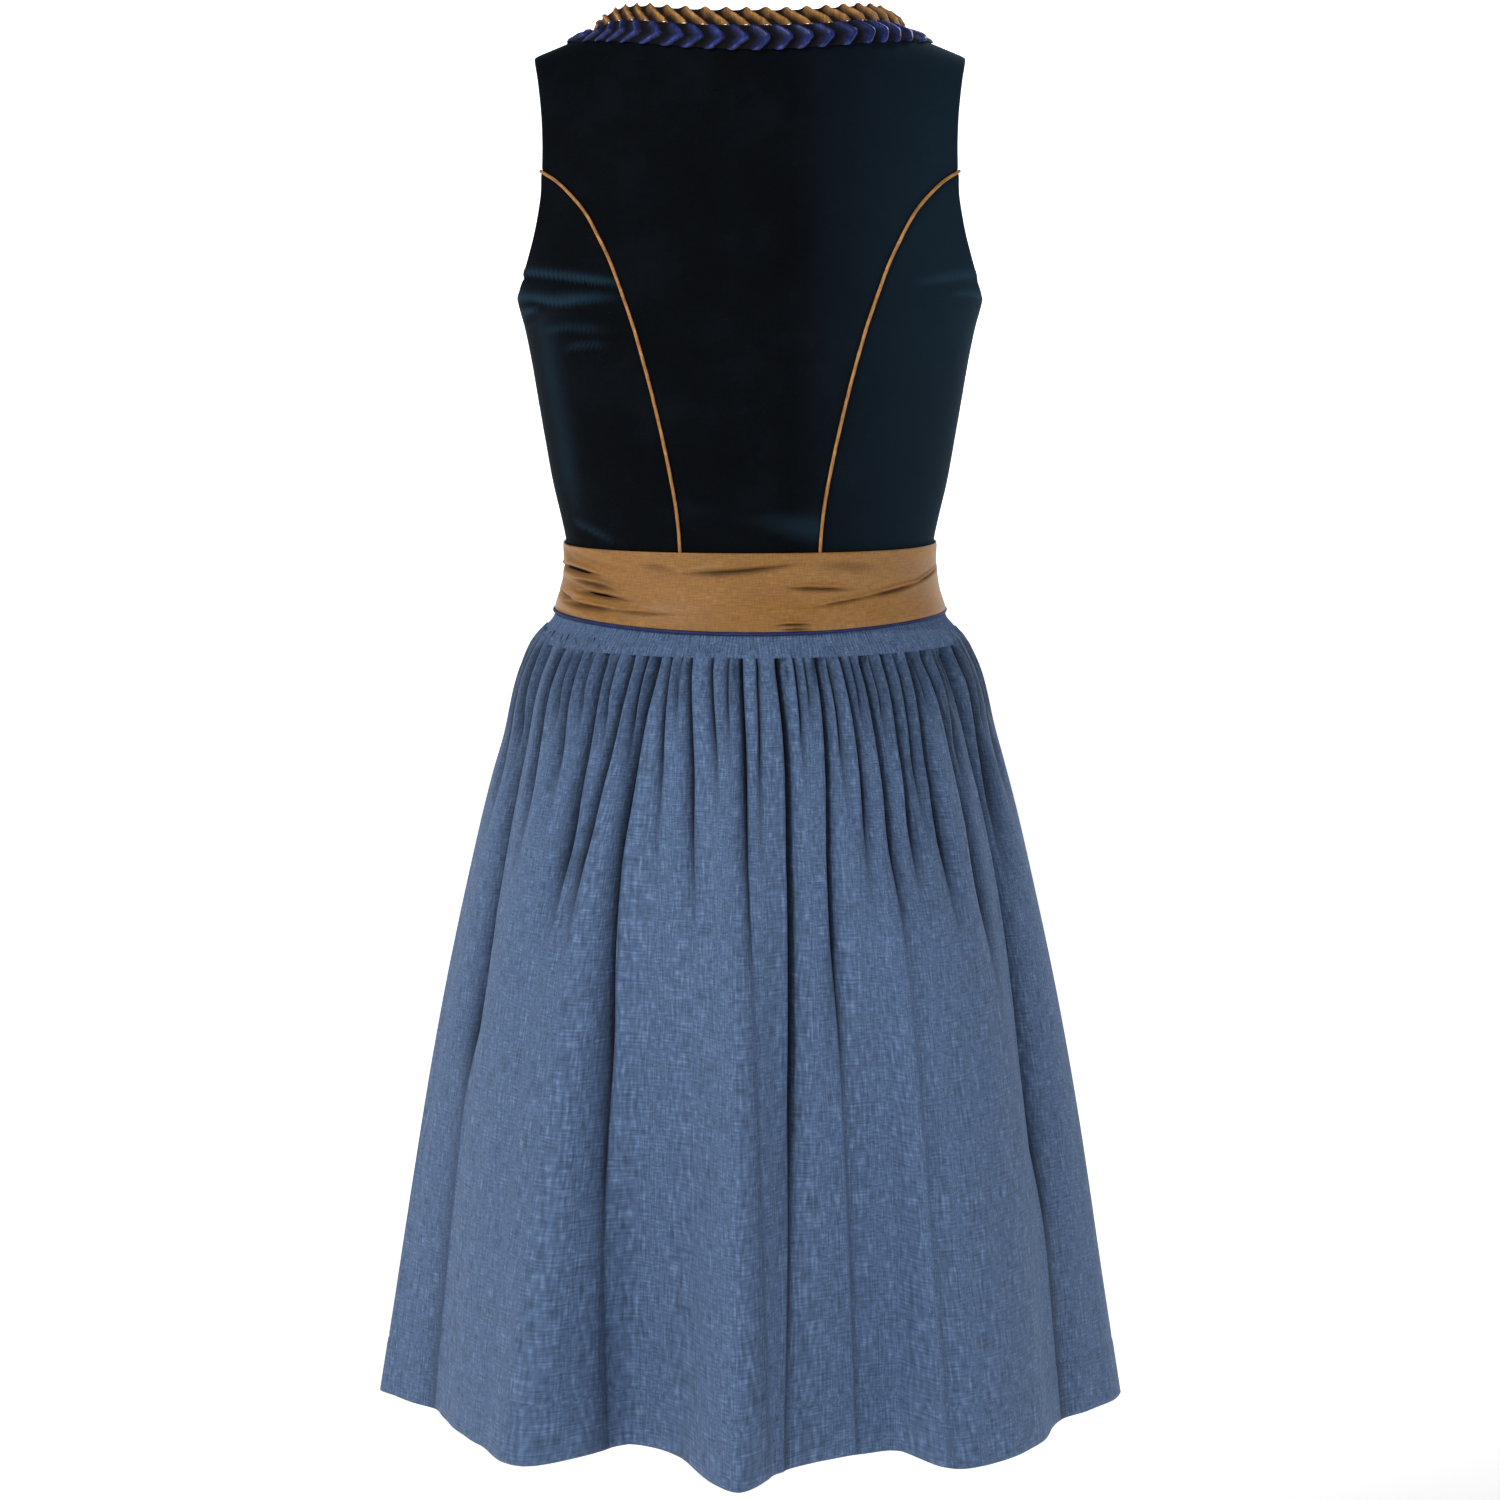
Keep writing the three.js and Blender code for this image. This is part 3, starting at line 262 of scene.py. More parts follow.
def oval(rows, angle, z, out):
    """Points of a plain oval, moved out square to it."""
    s, c, half, depth = oval_sizes(rows, angle, z)
    normal = unit(np.stack(np.broadcast_arrays(s / half, -c / depth, 0 * z), axis=-1))
    point = np.stack(np.broadcast_arrays(half * s, -depth * c, z + 0 * s), axis=-1)
    return point + normal * np.asarray(out)[..., None]


def wrapped(angle):
    return np.mod(angle + 90, 360) - 90


def waist_form(angle, z, out):
    """Outer face of whatever the band lies on: the bodice, then the straight top of the heading."""
    angle, z, out = np.broadcast_arrays(*(np.asarray(values, float) for values in (angle, z, out)))
    share = np.clip((SKIRT_TOP_Z - z) / (SKIRT_TOP_Z - FLARE_Z), 0, 1)[..., None]
    top, low = oval(SKIRT, angle, 0 * z + SKIRT_TOP_Z, out), oval(SKIRT, angle, 0 * z + FLARE_Z, out)
    below = top * (1 - share) + low * share
    below[..., 2] = z
    return np.where((z > WAIST_Z)[..., None], oval(BODICE, angle, z, out), below)


def waves(angle, z):
    down = np.clip((HEADING_Z - z) / (HEADING_Z - HEM_Z), 0, 1.02)
    return smooth(HEM_WAVES, wrapped(angle), "out", "angle") * down ** WAVE_RISE


def arc_length(angle, z):
    """Millimetres along the oval for each degree."""
    s, c, half, depth = oval_sizes(SKIRT, angle, z)
    return np.radians(1) * np.hypot(half * c, depth * s)


def way_down(z):
    return np.clip((HEADING_Z - z) / (HEADING_Z - HEM_Z), 0, 1)


CREASE_KNOTS = (0, 0.10, 0.28, 1.0)


def crease_line(k, z):
    """Angle of a crease at each height, with its line's corners rounded off."""
    angles = [CREASES[name][k] for name in ("top", "upper", "middle", "hem")]
    down = way_down(z)
    return sum(np.interp(down + shift, CREASE_KNOTS, angles) for shift in (-0.05, -0.025, 0, 0.025, 0.05)) / 5


def crease_depth(k, off, z):
    """How far a crease draws the cloth in, at a distance from its line. The lip towards the middle of the
    back or front stands up sharply, and the other side slopes down to it."""
    c = {name: values[k] for name, values in CREASES.items()}
    down = way_down(z)
    gone = ease(-c["fade_from"], -c["fade_to"], -z)
    middle = 0 if c["upper"] < 90 else 180
    inwards = off if c["upper"] < middle else -off
    steep = 1.3 + 7 * gone + 1.2 * down
    gentle = 1.7 * c["narrow"] * (1 + 1.2 * gone + 0.5 * down)
    wide = 3 * c["narrow"] + (c["wide"] - 1.6) * ease(0.0, 0.35, down)
    slit = np.exp(-np.where(inwards > 0, (np.abs(inwards) / steep) ** 2.4, (np.abs(inwards) / gentle) ** 1.5))
    hollow = bell(off, wide)
    begin = ease(-0.006, 0.016, down)
    # the long creases stay on as soft hollows down to the hem, and the short gathers run out
    kept = 0.5 * ease(11, 16, c["depth"])
    soft = (1 - (1 - kept) * gone) * (0.42 + 0.2 * kept * ease(0.2, 0.6, down))
    return c["depth"] * begin * ((1 - gone) * 0.8 * slit + soft * hollow)


def long_folds(angle, z):
    """The long creases alone, for the cloth that lies over them."""
    total = np.zeros(np.broadcast(angle, z).shape)
    for k in range(LONG_CREASES):
        off = (wrapped(angle - crease_line(k, z) + 90) - 90) * arc_length(angle, z)
        total += crease_depth(k, off, z)
    return total


# ---- making meshes


def started(name, add, **sizes):
    """A new primitive, alone in the selection."""
    for other in bpy.context.selected_objects:
        other.select_set(False)
    add(**sizes)
    obj = bpy.context.object
    obj.name = obj.data.name = name
    return obj


def edited(*steps):
    """Runs edit-mode steps on the active mesh, from everything selected."""
    bpy.ops.object.mode_set(mode="EDIT")
    bpy.ops.mesh.select_all(action="SELECT")
    for step in steps:
        step()
    bpy.ops.object.mode_set(mode="OBJECT")


def close_ends():
    """Fills the open ends of a tube, with its faces outwards."""
    bpy.ops.mesh.select_all(action="DESELECT")
    bpy.ops.mesh.select_non_manifold()
    bpy.ops.mesh.fill()
    bpy.ops.mesh.select_all(action="SELECT")
    bpy.ops.mesh.normals_make_consistent(inside=False)


def cloth(name, points, wall=0.0, size=None, closed=False, fold=None):
    """A sheet of cloth from rows of points. It starts as a plain grid, and takes its wall from Solidify.
    Fold, from 0 to 1, says how deep each point lies in a fold, where the materials paint shade; on velvet
    panels it marks where a pale sheen is painted."""
    rows, columns = points.shape[:2]
    obj = started(name, bpy.ops.mesh.primitive_grid_add,
                  x_subdivisions=columns - 1, y_subdivisions=rows - 1, size=1)
    mesh = obj.data
    flat = np.empty(len(mesh.vertices) * 3)
    mesh.vertices.foreach_get("co", flat)
    flat = flat.reshape(-1, 3)
    i = np.rint((flat[:, 1] + 0.5) * (rows - 1)).astype(int)
    j = np.rint((flat[:, 0] + 0.5) * (columns - 1)).astype(int)
    mesh.vertices.foreach_set("co", (points[i, j] * MM).ravel())
    # the pattern's place on the cloth, in metres along its width and its length
    if size is None:
        across = np.linalg.norm(np.diff(points, axis=1), axis=-1).mean(axis=0)
        length = np.linalg.norm(np.diff(points, axis=0), axis=-1).mean(axis=1)
        u, v = np.append(0, np.cumsum(across)), np.append(0, np.cumsum(length))
    else:
        u, v = np.linspace(0, size[0], columns), np.linspace(0, size[1], rows)
    corners = np.empty(len(mesh.loops), dtype=int)
    mesh.loops.foreach_get("vertex_index", corners)
    places = np.stack([u[j[corners]], v[i[corners]]], axis=-1) * MM
    mesh.uv_layers.active.data.foreach_set("uv", places.ravel())
    # the fold mask goes on as an attribute, for painted shade and painted sheen in the materials
    if fold is not None:
        depth = np.clip(np.broadcast_to(fold, (rows, columns))[i, j], 0, 1)
        mesh.attributes.new("fold", "FLOAT", "POINT").data.foreach_set("value", depth.ravel())
    mesh.update()
    if closed:
        edited(lambda: bpy.ops.mesh.remove_doubles(threshold=0.02 * MM))
    if wall:
        shell = obj.modifiers.new("wall", "SOLIDIFY")
        shell.thickness = wall * MM
        shell.offset = -1
        bpy.ops.object.modifier_apply(modifier="wall")
    bpy.ops.object.shade_smooth()
    return obj


def dress(obj, made_of, slot, *nodes):
    """Gives a piece its material and hides the solids that it stands for. Slot is not used."""
    obj.data.materials.clear()
    obj.data.materials.append(made_of)
    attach(obj, "root")
    if nodes:
        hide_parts(*nodes)
    return obj


def close_spacing(count, edge):
    """Even shares from 0 to 1, drawn together towards both ends."""
    t = np.linspace(0, 1, count)
    return t - edge * np.sin(2 * np.pi * t) / (2 * np.pi)


def run_along(points):
    """Length of a line up to each of its points."""
    return np.append(0, np.cumsum(np.linalg.norm(np.diff(points, axis=0), axis=-1)))


def read_line(at, run, line):
    """Points of a line at lengths along it."""
    return np.stack([np.interp(at, run, values) for values in line.T], axis=-1)


# ---- colours and materials


def colour(hexadecimal):
    """Linear colour of an sRGB hex value."""
    parts = [((hexadecimal >> shift) & 255) / 255 for shift in (16, 8, 0)]
    linear = [p / 12.92 if p <= 0.04045 else ((p + 0.055) / 1.055) ** 2.4 for p in parts]
    return (*linear, 1.0)


def node(tree, kind, sockets, stops=(), **settings):
    """Adds a node and gives its outputs. Its sockets take values or the outputs that feed them, and a ramp's
    stops are pairs of a place and a hex value."""
    new = tree.nodes.new("ShaderNode" + kind)
    for name, value in settings.items():
        setattr(new, name, value)
    for key, feed in sockets.items():
        if isinstance(feed, bpy.types.NodeSocket):
            tree.links.new(feed, new.inputs[key])
        else:
            new.inputs[key].default_value = feed
    for number, (at, value) in enumerate(stops):
        elements = new.color_ramp.elements
        element = elements[number] if number < len(elements) else elements.new(at)
        element.position, element.color = at, colour(value)
    return new.outputs


def material(name, build, *choices):
    """A material from a function that adds its nodes and says what its shader's sockets take. Its bump is
    a height, a strength and a distance in metres."""
    made = bpy.data.materials.new(name)
    made.use_nodes = True
    tree = made.node_tree
    tree.nodes.clear()
    sockets = build(tree, *choices)
    if "bump" in sockets:
        height, strength, distance = sockets.pop("bump")
        sockets["Normal"] = node(tree, "Bump", {"Height": height, "Strength": strength,
                                                "Distance": distance})[0]
    shader = node(tree, "BsdfPrincipled", sockets)
    node(tree, "OutputMaterial", {"Surface": shader[0]})
    return made


def mixture(tree, *patterns, start=0.0, **settings):
    """Sum of patterns, each times its share."""
    for pattern, share in patterns:
        start = node(tree, "Math", {0: pattern, 1: share, 2: start}, operation="MULTIPLY_ADD", **settings)[0]
    return start


def yarns(tree, along_width, along_length, detail):
    """Uneven yarns on the cloth's own map, by their number in a metre each way."""
    cloth_map = node(tree, "UVMap", {})[0]
    scaled = node(tree, "Mapping", {"Vector": cloth_map, "Scale": (along_width, along_length, 1)})[0]
    return node(tree, "TexNoise", {"Vector": scaled, "Scale": 1.0, "Detail": detail, "Roughness": 0.6})["Fac"]


def paint_shade_in_folds(tree, base, shade, rough, share=1.0):
    """Colour and roughness of a gathered cloth: painted shade multiplies its colour towards the shade colour
    deep in its folds, and it is duller there.
    """
    depth = mixture(tree, (node(tree, "Attribute", {}, attribute_name="fold")["Fac"], share))
    darker = node(tree, "Mix", {0: depth, 6: base, 7: colour(shade)}, data_type="RGBA",
                  blend_type="MULTIPLY")[2]
    return {"Base Color": darker, "Roughness": mixture(tree, (depth, 1 - rough), start=rough)}


def velvet(tree):
    # Cotton velvet: the cut pile drinks light, and grazing edges turn a pale teal through the shader's sheen.
    # A pale teal is also painted on as sheen, on the crests of creases and on the wearer's right side.
    on_object = node(tree, "TexCoord", {})["Object"]
    patches, pile, wide = (
        node(tree, "TexNoise", {"Vector": on_object, "Scale": scale, "Detail": detail, "Roughness": rough})[0]
        for scale, detail, rough in ((26.0, 5.0, 0.62), (900.0, 2.0, 0.7), (7.0, 3.0, 0.5)))
    ground = node(tree, "ValToRGB", {0: mixture(tree, (patches, 0.6), (wide, 0.4))},
                  stops=((0.36, 0x020407), (0.52, 0x04070B), (0.68, 0x070D14)))[0]
    # painted light: the wearer's right side is painted paler towards 0x1B3140, as if lit from there, and the
    # crests of creases get a painted sheen of the same teal
    across = node(tree, "SeparateXYZ", {0: on_object})["X"]
    towards = mixture(tree, (across, 7.0), start=-0.21, use_clamp=True)
    painted_sheen = node(tree, "Attribute", {}, attribute_name="fold")["Fac"]
    paler = mixture(tree, (towards, 0.55), start=painted_sheen, use_clamp=True)
    return {"Base Color": node(tree, "Mix", {0: paler, 6: ground, 7: colour(0x1B3140)}, data_type="RGBA")[2],
            "Roughness": 0.85, "Specular IOR Level": 0.05, "bump": (pile, 0.35, 0.0006),
            "Sheen Weight": 0.2, "Sheen Roughness": 0.3, "Sheen Tint": colour(0x34708E)}


def linen(tree):
    # Plain-weave linen: uneven yarns both ways give short pale and dark dashes over a soft mid blue.
    # They are drawn about 1 mm wide, coarser than the real 0.4 mm, so that they show.
    weave = mixture(tree, (yarns(tree, 960, 110, 1.0), 0.44), (yarns(tree, 170, 960, 1.0), 0.34),
                    (yarns(tree, 620, 44, 0.0), 0.12), (yarns(tree, 70, 680, 0.0), 0.1))
    dashes = node(tree, "ValToRGB", {0: weave},
                  stops=((0.36, 0x35465D), (0.46, 0x435876), (0.54, 0x4D6386), (0.65, 0x667FA0)))[0]
    # painted shade: deep in the skirt's folds the colour is multiplied towards 0x3A424E
    return {**paint_shade_in_folds(tree, dashes, 0x3A424E, 0.82), "Specular IOR Level": 0.22,
            "bump": (weave, 0.5, 0.0009),
            "Sheen Weight": 0.12, "Sheen Roughness": 0.6, "Sheen Tint": colour(0xB8C8E0)}


def taffeta(tree):
    # Taffeta: a crisp close weave, with a soft lustre that turns warmer and paler towards grazing light.
    weave = mixture(tree, (yarns(tree, 120, 1300, 2.0), 0.4), (yarns(tree, 1300, 160, 2.0), 0.3),
                    (yarns(tree, 14, 60, 3.0), 0.16))
    ground = node(tree, "ValToRGB", {0: weave},
                  stops=((0.31, 0x6C4A20), (0.43, 0x7F5828), (0.55, 0x966A32)))[0]
    grazing = mixture(tree, (node(tree, "LayerWeight", {"Blend": 0.35})["Facing"], 0.35))
    lustre = node(tree, "Mix", {0: grazing, 6: ground, 7: colour(0xB27C3C)}, data_type="RGBA")[2]
    # painted shade: deep in the band's creases the colour is multiplied towards 0x42382A
    return {**paint_shade_in_folds(tree, lustre, 0x42382A, 0.46, 0.85), "Specular IOR Level": 0.34,
            "bump": (weave, 0.12, 0.0004), "Sheen Weight": 0.06, "Sheen Tint": colour(0xE0B080)}


def satin(tree, dark, mid, pale, rough):
    # Satin ribbon: long floats lie side by side, so folded edges catch a bright narrow light.
    floats = yarns(tree, 900, 90, 2.0)
    both = mixture(tree, (floats, 0.5), (yarns(tree, 90, 110, 2.0), 0.5))
    ground = node(tree, "ValToRGB", {0: both}, stops=((0.36, dark), (0.5, mid), (0.66, pale)))[0]
    # painted shade: between the pleats the colour is multiplied towards near-black 0x18181C
    return {**paint_shade_in_folds(tree, ground, 0x18181C, rough), "Specular IOR Level": 0.28,
            "bump": (floats, 0.2, 0.0004), "Sheen Weight": 0.08, "Sheen Tint": colour(pale)}


def old_brass(tree):
    # Cast brass buttons, browned and rubbed pale in uneven spots.
    on_object = node(tree, "TexCoord", {})["Object"]
    spots = node(tree, "TexNoise", {"Vector": on_object, "Scale": 300.0, "Detail": 4.0})["Fac"]
    return {"Base Color": node(tree, "ValToRGB", {0: spots}, stops=((0.35, 0x4A3820), (0.6, 0x8A6C3E)))[0],
            "Roughness": node(tree, "ValToRGB", {0: spots}, stops=((0.3, 0x909090), (0.7, 0x5A5A5A)))[0],
            "Metallic": 1.0, "bump": (spots, 0.2, 0.0004)}


VELVET = material("cotton velvet", velvet)
LINEN = material("plain-weave linen", linen)
TAFFETA = material("silk-blend taffeta", taffeta)
GOLD_SATIN = material("gold-brown satin", satin, 0x6E4A26, 0x936632, 0xBE8C50, 0.42)
NAVY_CORD = material("navy cotton cord", satin, 0x0A1130, 0x121C48, 0x1C2A60, 0.62)
NAVY_SATIN = material("navy satin", satin, 0x0D143E, 0x18245A, 0x2C408C, 0.4)
BRASS = material("browned brass", old_brass)

# ---- bodice


def panel(name, places, node_name, creased=None):
    """A velvet panel on the bodice's form. Its edges sink a little where the seam draws them in."""
    angle, z = places[..., 0], places[..., 1]
    points, normals = bodice(angle, z), bodice_normal(angle, z)
    dip = sum(0.7 * bell(np.linalg.norm(points - seam, axis=-1), 2.2)
              for seam in (points[:, :1], points[:, -1:]))
    creases = 0 * z if creased is None else creased(angle, z)
    points = points + normals * (creases - dip)[..., None]
    for edge, neighbour in ((0, 1), (-1, -2)):
        points[:, edge] += unit(points[:, neighbour] - points[:, edge]) * SEAM_GAP / 2
    # painted sheen: the crests of the creases, and a band inside the left outline, are painted a paler teal
    band = bell(angle + 64, 7) * ease(-350, -300, z) * ease(-180, -205, z)
    painted_sheen = np.clip(creases, 0, 1) * 0.8 + 0.3 * band
    piece = cloth(name, points, VELVET_WALL, fold=painted_sheen)
    return dress(piece, VELVET, "velvet", node_name)


def coons(left, right, bottom, top, across, up):
    """Places inside four edges that meet at their corners, from the bottom row up."""
    u, v = across[None, :, None], up[:, None, None]
    sides = left[:, None] * (1 - u) + right[:, None] * u
    rims = bottom[None] * (1 - v) + top[None] * v
    low = bottom[0] * (1 - u) + bottom[-1] * u
    high = top[0] * (1 - u) + top[-1] * u
    return sides + rims - (low * (1 - v) + high * v)


def back_panel():
    seam = place(1, BACK_SEAM["x"], BACK_SEAM["z"])
    arm = place(1, BACK_ARM["x"], BACK_ARM["z"])[1:]
    edge = np.concatenate([seam, arm])
    rows = np.linspace(0, len(edge) - 1, 120)
    right = curve(edge, rows, corners=(len(seam) - 1,))
    left = right * [-1, 1]
    half = place(1, BACK_NECK["x"], BACK_NECK["z"])
    tip = edge[-1]
    right_top = np.concatenate([half, tip[None]])
    left_top = (right_top[1:] * [-1, 1])[::-1]
    top_points = np.concatenate([left_top, right_top])
    columns = close_spacing(110, 0.55) * (len(top_points) - 1)
    top = curve(top_points, columns, corners=(1, len(top_points) - 2))
    share = columns / (len(top_points) - 1)
    bottom = left[0] * (1 - share[:, None]) + right[0] * share[:, None]
    up = (right[:, 1] - right[0, 1]) / (right[-1, 1] - right[0, 1])
    return panel("bodice_back", coons(left, right, bottom, top, share, up), "bodice_back_centre", nape_pull)


def nape_pull(angle, z):
    """Faint hollow between the shoulder blades and a slack ripple above the band."""
    hollow = -1.6 * bell(angle, 14) * bell(z + 210, 90)
    ripple = 0.5 * np.sin((z + 340) / 9 + angle / 16) * bell(z + 338, 16)
    return hollow + ripple


# Pull creases of the side panels: angle and height of both ends, the depth, and the half width in mm.
PULLS = table(
    "a0 z0 a1 z1 depth width",
    "-72 -169 -31 -173 2 2.4, -80 -188 -54 -187 1.9 2.4, -78 -201 -35 -186 1.7 3.6",
    "-60 -208 -38 -206 0.8 2.4, -52 -220 -38 -217 0.8 2.4, -66 -344 -48 -354 0.9 2.8, 72 -172 44 -175 1 3.2",
    "76 -188 56 -183 1 3, -104 -178 -124 -182 1.3 3, -102 -192 -128 -196 1 3.2, 104 -180 126 -184 1.2 3",
    "103 -194 122 -197 0.9 3.2")


def pulls(angle, z):
    total = 0
    for a0, z0, a1, z1, depth, width in zip(*PULLS.values()):
        t = np.clip((angle - a0) / (a1 - a0), -0.3, 1.3)
        line = z0 + (z1 - z0) * t + 1.4 * np.sin(np.pi * t)
        ends = ease(-0.25, 0.25, t) * (1 - ease(0.75, 1.25, t))
        off = (z - line) / width
        total = total + depth * ends * (0.6 * bell(off - 1.9, 1.2) - bell(off, 1))
    return total


def side_panel(name, side, seam_points, armhole, front, node_name):
    seam = place(side, seam_points["x"], seam_points["z"], front)
    rows = np.linspace(0, len(seam) - 1, 150)
    right = curve(seam, rows)
    up = (right[:, 1] - WAIST_Z) / (right[-1, 1] - WAIST_Z)
    left = np.stack([0 * up + side * 90, WAIST_Z + (UNDERARM_Z - WAIST_Z) * up], axis=-1)
    arm = place(side, armhole["x"][::-1], armhole["z"][::-1], front)
    arm = np.concatenate([[[side * 90.0, UNDERARM_Z]], arm])
    fine = curve(arm, np.linspace(0, len(arm) - 1, 200))
    run = run_along(fine * [1.78, 1])
    across = close_spacing(46, 0.45)
    top = read_line(across * run[-1], run, fine)
    bottom = np.stack([left[0, 0] + (right[0, 0] - left[0, 0]) * across, 0 * across + WAIST_Z], axis=-1)
    places = coons(left, right, bottom, top, across, up)
    if (side > 0) != front:
        places = places[:, ::-1]
    return panel(name, places, node_name, pulls)


def front_panel(name, side, node_name):
    rows = np.linspace(0, len(FRONT_ROWS["z"]) - 1, 120)
    inner = curve(np.stack([FRONT_ROWS["neck_x"], FRONT_ROWS["neck_z"]], -1), rows, corners=(NECK_ROW,))
    outer = curve(np.stack([FRONT_ROWS["x"], FRONT_ROWS["z"]], -1), rows, corners=(ARM_ROW,))
    u = close_spacing(40, 0.45)[None, :, None]
    flat = inner[:, None] * (1 - u) + outer[:, None] * u
    places = place(side, np.maximum(flat[..., 0], 0), flat[..., 1], True)
    if side > 0:
        places = places[:, ::-1]
    return panel(name, places, node_name)


back_panel()
FRONT_SEAM = {"x": FRONT_ROWS["x"][:ARM_ROW + 1], "z": FRONT_ROWS["z"][:ARM_ROW + 1]}
for label, side in (("left", -1), ("right", 1)):
    back_side = side_panel(f"bodice_back_side_panel_{label}", side, BACK_SEAM, BACK_ARMHOLE, False,
                           f"bodice_back_side_{label}")
    front_side = side_panel(f"bodice_front_side_panel_{label}", side, FRONT_SEAM, FRONT_ARMHOLE, True,
                            f"bodice_front_side_{label}")
    front_piece = front_panel(f"bodice_front_panel_{label}", side, f"bodice_front_{label}")


def tube(name, centres, normals, radius, sides=10):
    """A round cord along a line."""
    across = np.cross(unit(np.gradient(centres, axis=0)), normals)
    turns = np.linspace(0, 2 * np.pi, sides + 1)
    points = (centres[:, None] + normals[:, None] * (radius * np.cos(turns))[:, None]
              + across[:, None] * (radius * np.sin(turns))[:, None])
    points[:, -1] = points[:, 0]
    piece = cloth(name, points, closed=True)
    edited(close_ends)
    return piece


def piping(name, side, node_name):
    last = len(BACK_SEAM["z"]) - 1
    first = np.interp(BAND_TOP_Z, BACK_SEAM["z"], np.arange(last + 1))
    places = curve(place(side, BACK_SEAM["x"], BACK_SEAM["z"]), np.linspace(first, last, 150))
    normals = bodice_normal(places[:, 0], places[:, 1])
    centres = bodice(places[:, 0], places[:, 1]) + normals * 0.75
    return dress(tube(name, centres, normals, 1.15), GOLD_SATIN, "gold_satin", node_name)


piping("seam_piping_left", -1, "piping_back_left")
piping("seam_piping_right", 1, "piping_back_right")

# ---- neck trim

PLEATS = 57
RUCHE_SEAT = 4.5  # how far past the neck edge the two trims meet


def neck_frames(count):
    """Places evenly along the neck edge, with directions along it, off the cloth and past its edge."""
    steps = np.linspace(0, 1, 120) ** 2

    def half(x, z, front):
        line = curve(np.stack([x, z], -1)[::-1], np.linspace(0, len(x) - 1, 400))
        run = run_along(line)
        return place(1, *read_line(steps * run[-1], run, line).T, front)

    back = half(BACK_NECK["x"], BACK_NECK["z"], False)[::-1]
    front = half(FRONT_ROWS["neck_x"][NECK_ROW:], FRONT_ROWS["neck_z"][NECK_ROW:], True)
    right = np.concatenate([back, front[1:]])
    places = np.concatenate([right, (right[1:-1] * [-1, 1])[::-1]])
    points, normals = bodice(places[:, 0], places[:, 1]), bodice_normal(places[:, 0], places[:, 1])
    points, normals = np.vstack([points, points[:1]]), np.vstack([normals, normals[:1]])
    run = run_along(points)
    at = np.linspace(0, run[-1], count + 1)
    edge, normal = read_line(at, run, points), read_line(at, run, normals)
    # soften the turn at the shoulder seams over a pleat's width
    kernel = np.hanning(2 * (count // PLEATS // 2) + 5)
    kernel /= kernel.sum()
    pad = len(kernel) // 2

    def soften(values):
        ring = np.vstack([values[-pad - 1:-1], values, values[1:pad + 1]])
        return np.stack([np.convolve(ring[:, k], kernel, "valid") for k in range(3)], -1)

    edge, normal = soften(edge), soften(normal)
    along = unit(np.vstack([edge[1:], edge[1:2]]) - np.vstack([edge[-2:-1], edge[:-1]]))
    along[-1] = along[0]
    normal = unit(normal - along * np.sum(normal * along, axis=-1, keepdims=True))
    return edge, along, normal, np.cross(normal, along), run[-1]


PER_PLEAT = 14  # points along each pleat
EDGE, ALONG, NORMAL, UP, NECK_LENGTH = neck_frames(PLEATS * PER_PLEAT)


def fold_height(phase, fall=0.1):
    """Height of one laid fold across its pitch: a slow rise, a rolled edge, then the drop to the next."""
    rise = np.clip(phase / (1 - fall), 0, 1)
    roll = np.sqrt(np.clip(1 - ((phase - (1 - 1.6 * fall)) / (1.6 * fall)) ** 2, 0, 1))
    slope = 0.62 * rise ** 1.4 * ((phase < 1 - 1.6 * fall) | (roll > 0))
    return slope + 0.38 * roll * (phase > 1 - 3.2 * fall)


def ruche_navy():
    share = np.arange(PLEATS * PER_PLEAT + 1) / PER_PLEAT
    rows = np.linspace(0, 1, 21)
    t, s = rows[:, None], share[None]
    uneven = 0.05 * np.sin(1.7 * np.floor(s)) + 0 * t
    tip = 0.93 - 0.62 * np.abs(2 * t - 1.02) ** 1.15 + uneven
    phase = np.mod(s - tip, 1)
    height = fold_height(phase)
    middle = 1 - 0.45 * np.abs(2 * t - 1) ** 1.6
    ends = ease(-0.02, 0.12, t) * (1 - ease(0.86, 1.02, t))
    lift = 0.7 + 4.3 * height * (0.35 + 0.65 * ends) * middle
    reach = 19.5 + 2.2 * np.clip(height, 0, 1) * (t > 0.5) - 1.2 * (t > 0.97)
    drop = RUCHE_SEAT - 0.3 - reach * t
    points = EDGE[None] + UP[None] * drop[..., None] + NORMAL[None] * lift[..., None]
    # painted shade in the valleys between pleats and towards both edges of the ribbon
    fold = 1.25 - 1.8 * height + 0.4 * np.abs(2 * t - 1) ** 3
    points[:, -1] = points[:, 0]
    piece = cloth("neck_trim_navy", points[::-1], TRIM_WALL, size=(NECK_LENGTH, 19), closed=True,
                  fold=fold[::-1])
    return dress(piece, NAVY_SATIN, "navy_satin", "neck_ruche_navy")


